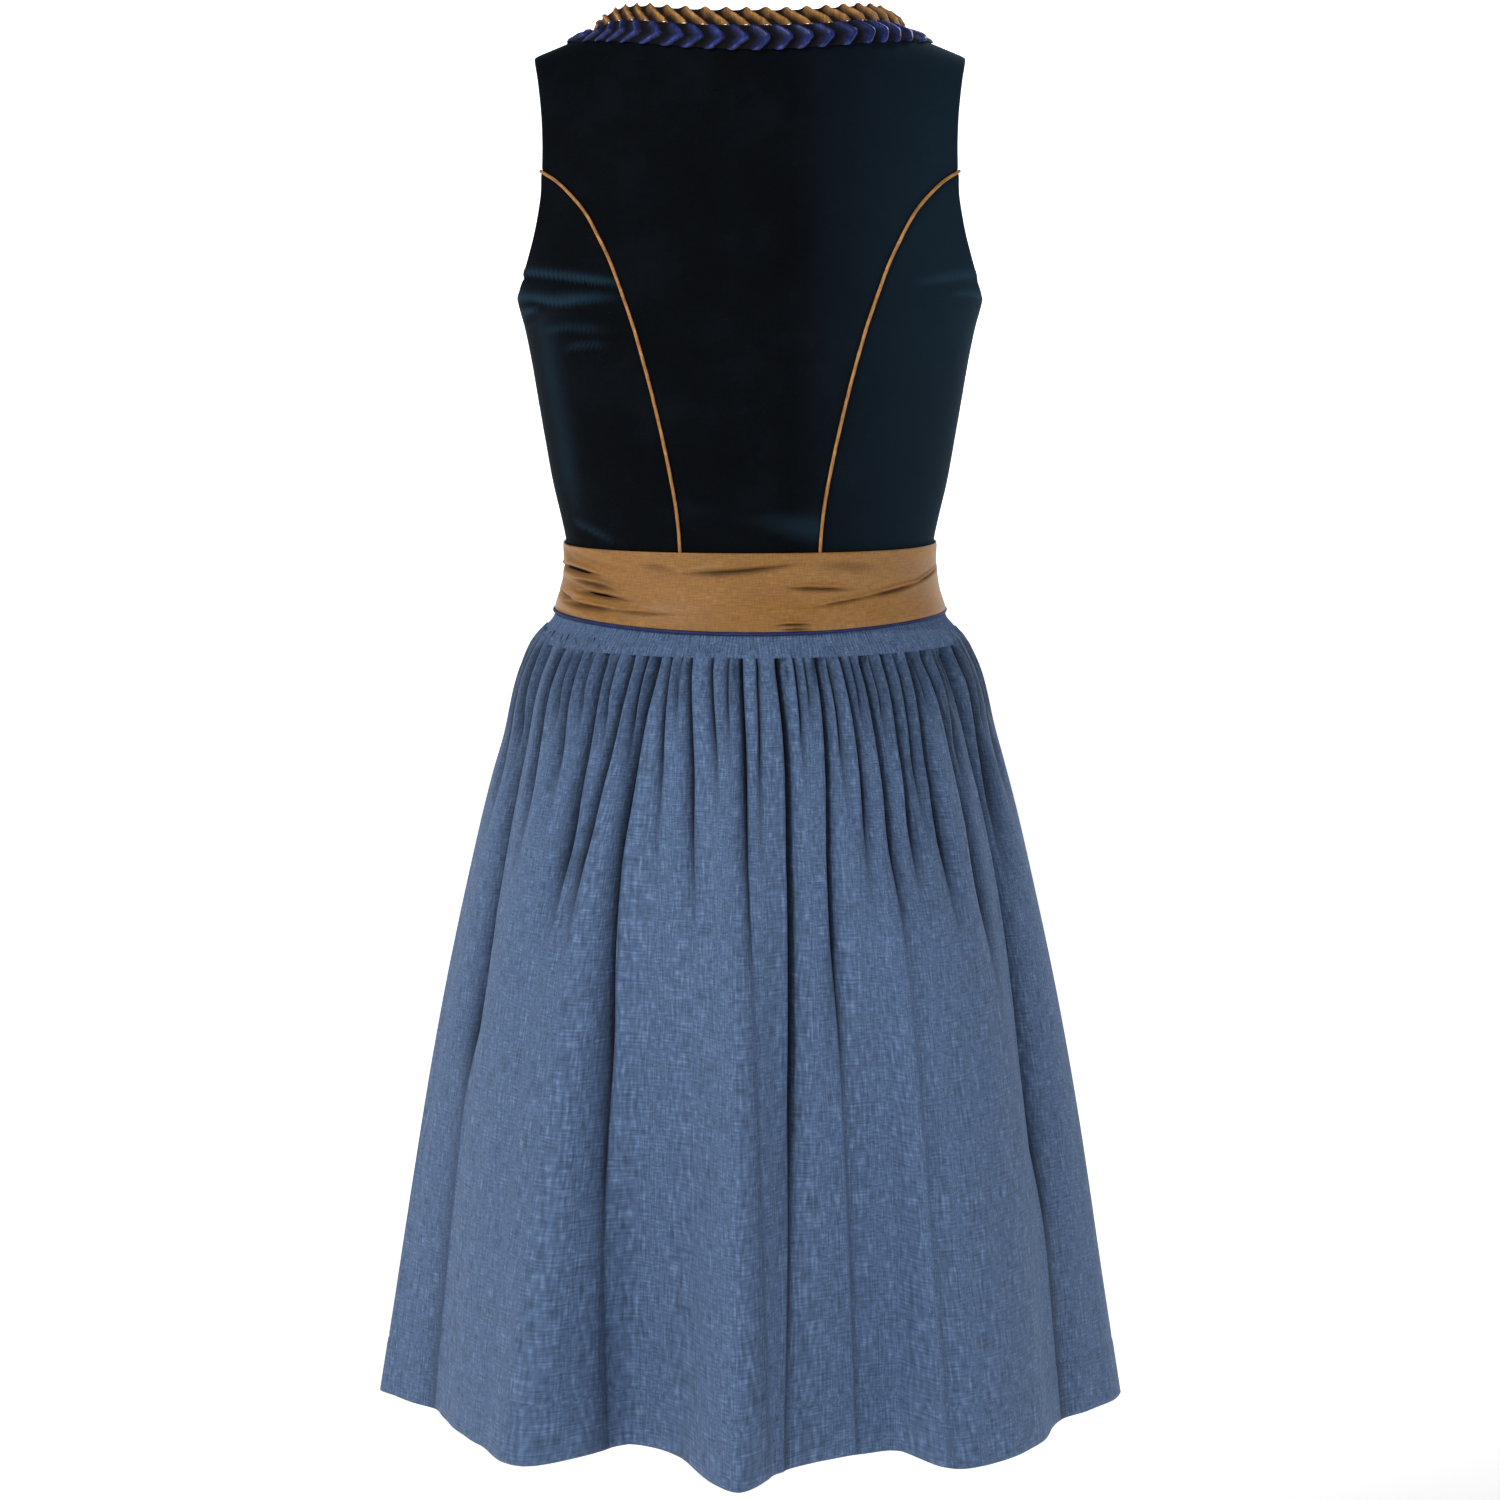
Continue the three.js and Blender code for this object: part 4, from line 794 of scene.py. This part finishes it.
def ruche_gold():
    share = np.arange(PLEATS * PER_PLEAT + 1) / PER_PLEAT
    rows = np.linspace(0, 1, 18)
    t, s = rows[:, None], share[None]
    slant = 1.02 - 1.0 * t + 0.04 * np.sin(2.3 * np.floor(s))
    phase = np.mod(s - slant, 1)
    height = fold_height(phase)
    upright = unit(UP + 0.5 * np.array([0, 0, 1.0]))
    outwards = unit(np.cross(ALONG, upright))
    top_phase = np.mod(s - 0.05, 1)
    loop = bell(top_phase - 0.72, 0.2)
    reach = 11.2 + 2.0 * loop
    lift = 0.5 + 4.0 * height * (0.45 + 0.55 * ease(0, 0.3, t)) * (1 - 0.5 * ease(0.7, 1, t))
    out = NORMAL[None] * (1 - t[..., None]) + outwards[None] * t[..., None]
    points = (EDGE[None] + UP[None] * (RUCHE_SEAT - 0.6) + upright[None] * (reach * t)[..., None]
              + out * lift[..., None])
    # painted shade in the valleys between pleats and along the top edge, and less on the loops
    fold = 1.35 - 1.8 * height + 0.5 * ease(0.8, 1.0, t) - 0.3 * loop
    points[:, -1] = points[:, 0]
    piece = cloth("neck_trim_gold", points, TRIM_WALL, size=(NECK_LENGTH, 12), closed=True, fold=fold)
    return dress(piece, GOLD_SATIN, "gold_satin", "neck_ruche_gold")


ruche_navy()
ruche_gold()

# ---- skirt


def hem_turn(z):
    """The turned hem: a little thicker, with a faint groove where the stitches hold it."""
    groove = bell(z - HEM_Z - HEM_TURN, 1.3)
    return 0.3 * ease(-HEM_Z - HEM_TURN - 3, -HEM_Z - HEM_TURN + 3, -z) - 0.55 * groove


def under_apron(angle):
    return ease(114, 119, angle) * (1 - ease(241, 246, angle))


def skirt_rows(count):
    """Heights of a skirt's rows: close together under the heading and at the hem's stitches."""
    fine = np.linspace(HEM_Z, HEADING_Z + 2, 4001)
    below, above = np.maximum(HEADING_Z - fine, 0), fine - HEM_Z
    crowding = (0.11 + 0.55 * np.exp(-below / 16) + 0.12 * np.exp(-below / 90)
                + 0.5 * bell(above - HEM_TURN, 2.4) + 0.2 * bell(above, 3))
    run = np.cumsum(crowding)
    return np.interp(np.linspace(run[0], run[-1], count), run, fine)


def add_skirt(half, first, columns, rows):
    """One width of the skirt. Its columns follow the creases, and lie closer together there."""
    inside = [k for k in range(len(CREASES["top"])) if first < CREASES["top"][k] < first + 180]
    inside.sort(key=lambda k: CREASES["top"][k])
    tops = np.array([first, *CREASES["top"][inside], first + 180])
    even = np.linspace(first, first + 180, 6001)
    crowding = 1 + sum(2.6 * bell(even - top, 0.9) for top in tops[1:-1])
    run = np.cumsum(crowding)
    start = np.interp(np.linspace(run[0], run[-1], columns), run, even)
    z = skirt_rows(rows)
    lines = np.stack([np.full(rows, first), *(crease_line(k, z) for k in inside), np.full(rows, first + 180)],
                     axis=-1)
    steps = np.maximum(np.diff(lines, axis=-1), 0.7)
    lines[:, 1:-1] = first + np.cumsum(steps, axis=-1)[:, :-1] * (180 / steps.sum(axis=-1, keepdims=True))
    angle = np.stack([np.interp(start, tops, line) for line in lines])
    z = z[:, None]
    length = arc_length(angle, z)
    drawn_in = np.zeros(angle.shape)
    slide = np.zeros(angle.shape)
    fold = np.zeros(angle.shape)
    for position, k in enumerate(inside, start=1):
        line = lines[:, position:position + 1]
        off = (angle - line) * length
        depth = crease_depth(k, off, z)
        drawn_in = drawn_in + depth
        strength = np.clip(crease_depth(k, 0 * z, z) / 10, 0, 1)
        # the inner lip hangs over the crease and hides its heart
        side = -1 if CREASES["upper"][k] > first + 90 else 1
        inner = off * side
        lip = bell(inner - 2.6, 2.6)
        slide = slide - side * 2.4 * lip * np.clip(strength * 1.3, 0, 1)
        # painted shade: the heart of each crease gets a dark fold mask, which spreads further on the side
        # away from the middle
        reach = 1.1 * CREASES["narrow"][k] + 0.8 + 6.5 * np.abs(np.sin(np.radians(line))) ** 1.5
        heart = np.where(inner > 0, (inner / 1.8) ** 2, (np.abs(inner) / reach) ** 1.5)
        fold = np.maximum(fold, np.clip(1.3 * strength, 0, 1) * np.exp(-heart))
    below = HEADING_Z - z
    slant = start + 0.035 * np.clip(below, 0, 30) * np.sin(start * 0.47 + 1)
    sharp = np.abs(np.sin(slant * np.pi / 2.7 + 1.3 * np.sin(slant * 0.61) + 0.8 * np.sin(slant * 1.7)))
    uneven = 0.55 + 0.45 * np.sin(start * 0.93 + 1.4 * np.sin(start * 0.37))
    reach = 8 + 22 * uneven
    fading = np.exp(-(np.maximum(below, 0) / reach) ** 1.5)
    pucker = 3.6 * uneven * (sharp ** 0.6 - 0.8) * fading
    puff = 2.6 + 1.6 * ease(0, 7, below) * (1 - ease(20, 80, below)) - 2.6 * ease(20, 80, below)
    # painted shade in the small puckers under the heading
    fold = np.maximum(fold, 0.9 * uneven * bell(sharp, 0.24) * fading)
    limp = 0.7 * np.sin(angle / 2.3 + 1.7 * np.sin(z / 90)) * np.sin(angle / 5.1)
    limp = limp * ease(0.2, 0.7, way_down(z))
    seam = 0.8 * bell(np.minimum(angle - first, first + 180 - angle), 0.8)
    free = 1 - under_apron(angle)
    out = waves(angle, z) - drawn_in + (pucker + puff) * free - 0.6 * (1 - free) + limp * free
    out = out + hem_turn(z) - seam
    # the gathers end at uneven heights over the heading
    lift = 4.6 + 2.6 * np.sin(start * 1.9 + 2 * np.sin(start * 0.53))
    lift = lift * ease(12, -1, below) * (0.35 + 0.65 * sharp) * free
    points = oval(SKIRT, angle + slide / length, z + lift, out)
    piece = cloth(f"skirt_{half}_cloth", points, LINEN_WALL, size=(790, 560), fold=fold)
    return dress(piece, LINEN, "linen", f"skirt_{half}")


def add_heading(half, first):
    """The shirred heading: fine upright ribs, drawn up on rows of gathering thread."""
    ribs, per_rib = 190, 5
    angle = np.linspace(first, first + 180, ribs * per_rib + 1)[None]
    z = np.linspace(HEADING_Z - 0.5, -405.5, 9)[:, None]
    sway = 0.5 * np.sin(angle / 3.1 + z / 9) * ease(410, 424, -z)
    phase = np.mod((angle - first + sway) / (180 / ribs), 1)
    rib = np.sqrt(np.clip(1 - (2 * phase - 1) ** 2, 0, 1))
    swell = (1.2 + 0.3 * ease(405, 424, -z)) * (0.8 + 0.2 * np.sin(angle * 1.7))
    threads = 0.45 * (bell(z + 411, 0.8) + bell(z + 418, 0.8))
    out = (rib * swell - threads + 0.3) * (1 - 0.8 * under_apron(angle)) - 1.2 * ease(419, 424, -z)
    points = oval(SKIRT, angle, z, out)
    # painted shade between the heading's ribs
    fold = 0.5 * (1 - rib) ** 1.5 + 0 * z
    piece = cloth(f"skirt_heading_{half}", points, HEADING_WALL, size=(790, 20), fold=fold)
    return dress(piece, LINEN, "linen")


# the back is seen closest, so it has more columns and rows
skirts = [add_skirt("back", -90, 500, 96), add_skirt("front", 90, 380, 78)]
headings = [add_heading("back", -90), add_heading("front", 90)]

# ---- band, waist piping

BAND_OUT = 0.9 + TAFFETA_WALL  # the band's outer face, off what it lies on

# Creases of the band: angle and height of both ends, the depth, the half width, and how far the middle
# bows up.
BAND_CREASES = table(
    "a0 z0 a1 z1 depth width bow",
    "-95 -373.5 -50 -374.2 2.8 1.8 2.2, -70 -379 -44 -382 2.6 1.6 0.8, -66 -386 -37 -389 2.3 1.4 0.6",
    "-92 -385.5 -62 -394 1.6 1.4 -0.8, -74 -394.8 -40 -396.6 2.5 1.5 0.2, -46 -396.4 -23 -396.8 1.6 1.1 0",
    "-35 -363.5 -24 -366.5 1 2.6 0.3, -22.5 -368.8 15.5 -361.2 2.2 1.8 -1, 9.8 -378 32.5 -380.2 2.2 1.2 0.3",
    "18.7 -391.4 40 -385.2 1.8 0.9 0, 36 -386.4 62 -379.4 2.3 1.2 0, 58 -380.4 88 -371.6 1.9 0.9 0",
    "7.2 -402.6 18.2 -402.8 2.2 0.9 0, 8.4 -405.6 17.8 -406 1.9 0.8 0, 20 -362 42 -365.5 0.9 3 0.3",
    "-88 -361 -66 -364.5 0.9 2.6 0.4, 96 -372 128 -377 1.6 1.8 0.5, 100 -390 140 -386 1.4 1.8 0.4",
    "172 -370 206 -374 1.5 1.8 0.4, 180 -390 214 -384 1.4 1.8 -0.5, 226 -376 262 -370 1.7 1.9 0.6",
    "232 -392 258 -394 1.3 1.6 0")


def band_bottom(angle):
    """The band's lower edge, which dips at the middle of the back and a little at the front."""
    c = np.cos(np.radians(angle))
    return -403.2 - np.where(c > 0, 5.0, 1.0) * c ** 2


def add_band():
    angle = np.linspace(-90, 270, 441)[None]
    top = -356 + 2.2 * np.cos(np.radians(angle)) ** 2
    bottom = band_bottom(angle)
    v = np.linspace(0, 1, 52)[:, None]
    z = bottom + (top - bottom) * v
    crease = np.zeros(z.shape)
    fold = np.zeros(z.shape)
    for a0, z0, a1, z1, depth, width, bow in zip(*BAND_CREASES.values()):
        t = np.clip((np.mod(angle - (a0 + a1) / 2 + 180, 360) - 180) / (a1 - a0) + 0.5, -0.3, 1.3)
        line = z0 + (z1 - z0) * t + bow * np.sin(np.pi * t)
        # each crease is widest in its middle and runs out to a thin line
        lens = ease(-0.15, 0.4, t) * (1 - ease(0.6, 1.15, t))
        off = (z - line) / (width * (0.4 + 0.6 * lens))
        crease += lens * depth * (0.7 * bell(off - 1.7, 1) - bell(off, 1))
        # painted shade inside each crease, reaching further below its line than above
        fold = np.maximum(fold, lens * min(depth / 2.2, 1) * bell(off, np.where(off > 0, 0.6, 1.5)))
    # the end of one layer that laps over the other
    lap_t = np.clip((angle - 18.7) / (82.3 - 18.7), 0, 1)
    lap_line = -391.4 + (-371.6 + 391.4) * lap_t
    lap = 0.8 * ease(0.4, -0.4, z - lap_line) * ease(12, 20, angle) * (1 - ease(80, 96, angle))
    slack = 0.5 * np.sin(angle / 7.3 + z / 11) * np.sin(angle / 17 + 1) * np.sin(np.pi * v)
    edges = -0.5 * (bell(v, 0.03) + bell(1 - v, 0.03))
    out = BAND_OUT + lap + slack + edges + 0.5
    # broad slack folds, where the cloth bunches towards the side seam
    bunch = ease(-28, -62, angle) * (1 - ease(-92, -130, angle))
    broad = np.sin((z + 372 + 0.13 * (angle + 60)) * 2 * np.pi / 10.5 + 0.9 * np.sin(angle / 9))
    calm = 1 - 0.8 * bell(np.abs(angle) - 90, 8)
    bunched = 1.1 * bunch * broad * np.sin(np.pi * v) * calm
    points = waist_form(angle + 0 * z, z, out + crease * calm + bunched)
    # painted shade in the hollows of the broad slack folds
    fold = np.maximum(fold, 0.3 * bunch * np.clip(-broad, 0, 1))
    piece = cloth("apron_band", points, TAFFETA_WALL, size=(760, 54), closed=True, fold=fold)
    return dress(piece, TAFFETA, "taffeta", "sash")


def add_waist_piping():
    angle = np.linspace(-116, 116, 260)
    z = band_bottom(angle) - 0.7
    centres = waist_form(angle, z, 1.9)
    normals = unit(waist_form(angle, z, 3.0) - waist_form(angle, z, 2.0))
    return dress(tube("waist_cord", centres, normals, 1.4, 10), NAVY_CORD, "navy_satin", "waist_piping")


band = add_band()
add_waist_piping()

# ---- apron


def add_apron():
    first, last = 118.9, 241.1
    angle = np.linspace(first, last, 250)[None]
    t = np.linspace(0, 1, 80)
    z = (-931 + (-405.2 + 931) * t ** 0.8)[:, None]
    down = way_down(z)
    stand = 1.6 + 3.6 * ease(0, 40, HEADING_Z - z)
    body = waves(angle, z) - np.maximum(long_folds(angle, z) - 1.0, 0) * 0.75
    phase = np.mod((angle - first) / (last - first) * 34 + 0.25 * np.sin(angle * 0.31), 1)
    fine = 0.5 - 0.5 * np.cos(2 * np.pi * phase)
    ripple = fine * (1.3 + 3.2 * ease(0, 0.06, down)) * (1 - 0.85 * ease(0.12, 0.75, down))
    broad = 0.5 - 0.5 * np.cos(2 * np.pi * (angle - first) / (last - first) * 11)
    ripple = ripple + broad * 2.2 * ease(0.05, 0.5, down)
    out = body + stand + ripple
    lowest = oval(SKIRT, angle, z, out)
    heading = waist_form(angle + 0 * z, z, out)
    points = np.where((z > FLARE_Z)[..., None], heading, lowest)
    piece = cloth("apron_cloth", points, TAFFETA_WALL, size=(560, 540))
    return dress(piece, TAFFETA, "taffeta", "apron")


apron = add_apron()

# ---- bow

BOW_ANGLE = 166.0
BOW_Z = -380.0


def bow_place():
    angle, z = np.array(BOW_ANGLE), np.array(BOW_Z)
    off = oval(BODICE, angle, z, np.array(1.0)) - oval(BODICE, angle, z, np.array(0.0))
    up = np.array([0, 0, 1.0])
    across = unit(np.cross(off, up))
    seat = waist_form(angle, z, BAND_OUT)
    return seat, across, up, off


SEAT, ACROSS, UPWARDS, OFF = bow_place()


def from_bow(x, y, out):
    return SEAT + ACROSS * x[..., None] + UPWARDS * y[..., None] + OFF * out[..., None]


def add_knot():
    """A band of cloth wound round the middle, drawn in on its two sides."""
    turn = np.linspace(0, 2 * np.pi, 49)[None]
    x = np.linspace(-15, 15, 31)[:, None]
    edge = np.abs(x) / 15
    swell = 1 - 0.2 * edge ** 2.5
    fold = 1 + 0.05 * np.cos(5 * np.pi * x / 15 + 0.8 * np.sin(turn))
    y = 19.5 * swell * fold * np.cos(turn) + 0 * x
    out = 10.2 + 8.4 * swell * fold * np.sin(turn) + 0 * x
    points = from_bow(x + 0 * turn, y, out)
    piece = cloth("bow_middle", points[:, ::-1], 0, size=(30, 90), closed=True)
    edited(close_ends)
    return dress(piece, TAFFETA, "taffeta", "bow_knot")


LOOP_REACH = 78
LOOP = table(
    "x y out width",
    "0 2 15 0.5, 0.25 5 19 0.85, 0.62 1 19 1, 0.93 -9 13 1, 1 -12 7 1, 0.91 -12 1.6 1, 0.6 -6 2 0.95",
    "0.25 -1 5 0.8, 0 -1 8 0.5")


def add_loop(name, side, node_name):
    rows = np.stack([LOOP[k] for k in ("x", "y", "out", "width")], -1)
    line = curve(rows, np.linspace(0, len(rows) - 1, 96))
    v = np.linspace(-1, 1, 25)[:, None]
    x, y, out, width = (line[:, k][None] for k in range(4))
    x = x * LOOP_REACH
    gathers = (1 - ease(4, 40, x)) * 1.5 * np.cos(5.5 * np.pi * v / 2 + 0.4) * width
    height = y + v * width * 23 + 0.8 * np.sin(x / 9) * v
    points = from_bow(side * (x + 15.6) + 0 * v, height, out + gathers + 0 * v)
    if side < 0:
        points = points[:, ::-1]
    piece = cloth(name, points, TAFFETA_WALL, size=(190, 46))
    dress(piece, TAFFETA, "taffeta", node_name)


def add_tail(name, lean, end, node_name):
    t = np.linspace(0, 1, 70)[:, None]
    v = np.linspace(-1, 1, 23)[None]
    top = -398.3
    # the end is cut on a slant
    low = end + 9 * v * np.sign(lean)
    z = top + (low - top) * t
    middle = BOW_ANGLE + lean * (0.41 + 0.59 * t)
    half = 52 * (0.17 + 0.33 * ease(0, 0.5, t))
    angle = middle + v * np.degrees(half / smooth(SKIRT, z, "half"))
    # it starts under the knot, and then stands clear of the apron's gathers
    out = 10 + 7.6 * ease(0, 0.12, t)
    # one soft fold down its length
    fold = 2.2 * np.cos(np.pi * v * 1.5 + 0.6 + 1.2 * t) * (1 - 0.5 * t)
    base = np.maximum(waves(middle, z) - long_folds(middle, z), -6)
    points = oval(SKIRT, angle, z, base + out + fold + 0.6)
    piece = cloth(name, points[::-1], TAFFETA_WALL, size=(52, 300))
    dress(piece, TAFFETA, "taffeta", node_name)


add_knot()
add_loop("bow_ribbon_right", 1, "bow_loop_right")
add_loop("bow_ribbon_left", -1, "bow_loop_left")
add_tail("bow_end_right", -14, -668, "bow_tail_right")
add_tail("bow_end_left", 13, -700, "bow_tail_left")

# ---- buttons


TOP_BUTTON_Z = -188.0
BUTTON_PITCH = 31.0


def add_button(number):
    middle, z = np.array(180.0), np.array(TOP_BUTTON_Z - BUTTON_PITCH * (number - 1))
    normal = bodice_normal(middle, z)
    seat = bodice(middle, z) + normal * 0.4
    obj = started(f"button_{number}", bpy.ops.mesh.primitive_cylinder_add,
                  vertices=36, radius=6.4 * MM, depth=1.0 * MM)
    edited(lambda: bpy.ops.mesh.select_mode(type="FACE"), lambda: bpy.ops.mesh.select_all(action="DESELECT"))
    for face in obj.data.polygons:
        face.select = face.normal.z > 0.9
    bpy.ops.object.mode_set(mode="EDIT")
    # a rolled rim, a sunk ring and a domed middle
    for inset, lift in ((0.9, 0.9), (0.9, -0.5), (1.6, 0.7), (1.6, 0.35)):
        bpy.ops.mesh.inset(thickness=inset * MM)
        bpy.ops.transform.translate(value=(0, 0, lift * MM))
    bpy.ops.object.mode_set(mode="OBJECT")
    bevel = obj.modifiers.new("edges", "BEVEL")
    bevel.width = 0.25 * MM
    bevel.segments = 2
    bpy.ops.object.modifier_apply(modifier="edges")
    obj.rotation_mode = "QUATERNION"
    obj.rotation_quaternion = Vector((0, 0, 1)).rotation_difference(Vector(normal))
    obj.location = Vector((seat + normal * 0.5) * MM)
    bpy.ops.object.transform_apply(location=True, rotation=True, scale=True)
    bpy.ops.object.shade_smooth_by_angle(angle=math.radians(40))
    dress(obj, BRASS, "button", f"front_button_{number}")


for number in range(1, 7):
    add_button(number)

# ---- floor, light, camera


CHEST = (0, 0, -0.45)  # where the lamps point


def area_light(name, location, size, power, tint):
    data = bpy.data.lights.new(name, "AREA")
    data.shape = "DISK"
    data.size = size
    data.energy = power
    data.color = tint
    lamp = bpy.data.objects.new(name, data)
    bpy.context.collection.objects.link(lamp)
    lamp.location = location
    lamp.rotation_euler = (Vector(CHEST) - Vector(location)).to_track_quat("-Z", "Y").to_euler()


def paper(tree):
    # White paper: it glows evenly white in the distance, and less near the dress, which the lamps light.
    far = node(tree, "VectorMath", {0: node(tree, "TexCoord", {})["Object"]}, operation="LENGTH")["Value"]
    glow = node(tree, "Math", {0: mixture(tree, (far, 0.085), start=0.3), 1: 1.04}, operation="MINIMUM")[0]
    return {"Base Color": colour(0xF2F2F2), "Roughness": 0.95, "Emission Color": colour(0xFFFFFF),
            "Emission Strength": glow}


def add_sweep():
    """Pale round studio floor that curves up into a wall far from the dress."""
    obj = started("studio_sweep", bpy.ops.mesh.primitive_grid_add,
                  x_subdivisions=96, y_subdivisions=40, size=2)
    flat, bend_radius, height = 14.0, 4.0, 1.0
    arc = bend_radius * math.pi / 2
    for vertex in obj.data.vertices:
        turn = vertex.co.x * math.pi
        run = (vertex.co.y + 1) / 2 * (flat + arc + height)
        bend = min(max((run - flat) / bend_radius, 0), math.pi / 2)
        radius = min(run, flat) + bend_radius * math.sin(bend)
        rise = bend_radius * (1 - math.cos(bend)) + max(run - flat - arc, 0)
        vertex.co = (-radius * math.sin(turn), radius * math.cos(turn), -1.35 + rise)
    edited(lambda: bpy.ops.mesh.remove_doubles(threshold=1 * MM),
           lambda: bpy.ops.mesh.normals_make_consistent(inside=True))
    bpy.ops.object.shade_smooth()
    obj.data.materials.append(material("matt white studio paper", paper))


add_sweep()

world = bpy.data.worlds.new("studio")
bpy.context.scene.world = world
world.use_nodes = True
background = world.node_tree.nodes["Background"]
background.inputs["Color"].default_value = colour(0xFFFFFF)
background.inputs["Strength"].default_value = 0.14

area_light("key", (-2.0, -2.4, 2.0), 0.8, 84, (1.0, 0.985, 0.96))
area_light("fill", (2.6, -2.6, 0.4), 1.8, 12, (0.94, 0.97, 1.0))
area_light("back", (1.4, 2.8, 1.4), 1.4, 40, (1.0, 1.0, 1.0))

camera_data = bpy.data.cameras.new("camera")
camera_data.sensor_width = 36
camera_data.lens = 121.69
camera = bpy.data.objects.new("camera", camera_data)
bpy.context.collection.objects.link(camera)
camera.location = (0, -3.5581, 0.04264)
camera.rotation_euler = (math.radians(90 - 8.75), 0, 0)
bpy.context.scene.camera = camera
bpy.context.scene.view_settings.view_transform = "Standard"
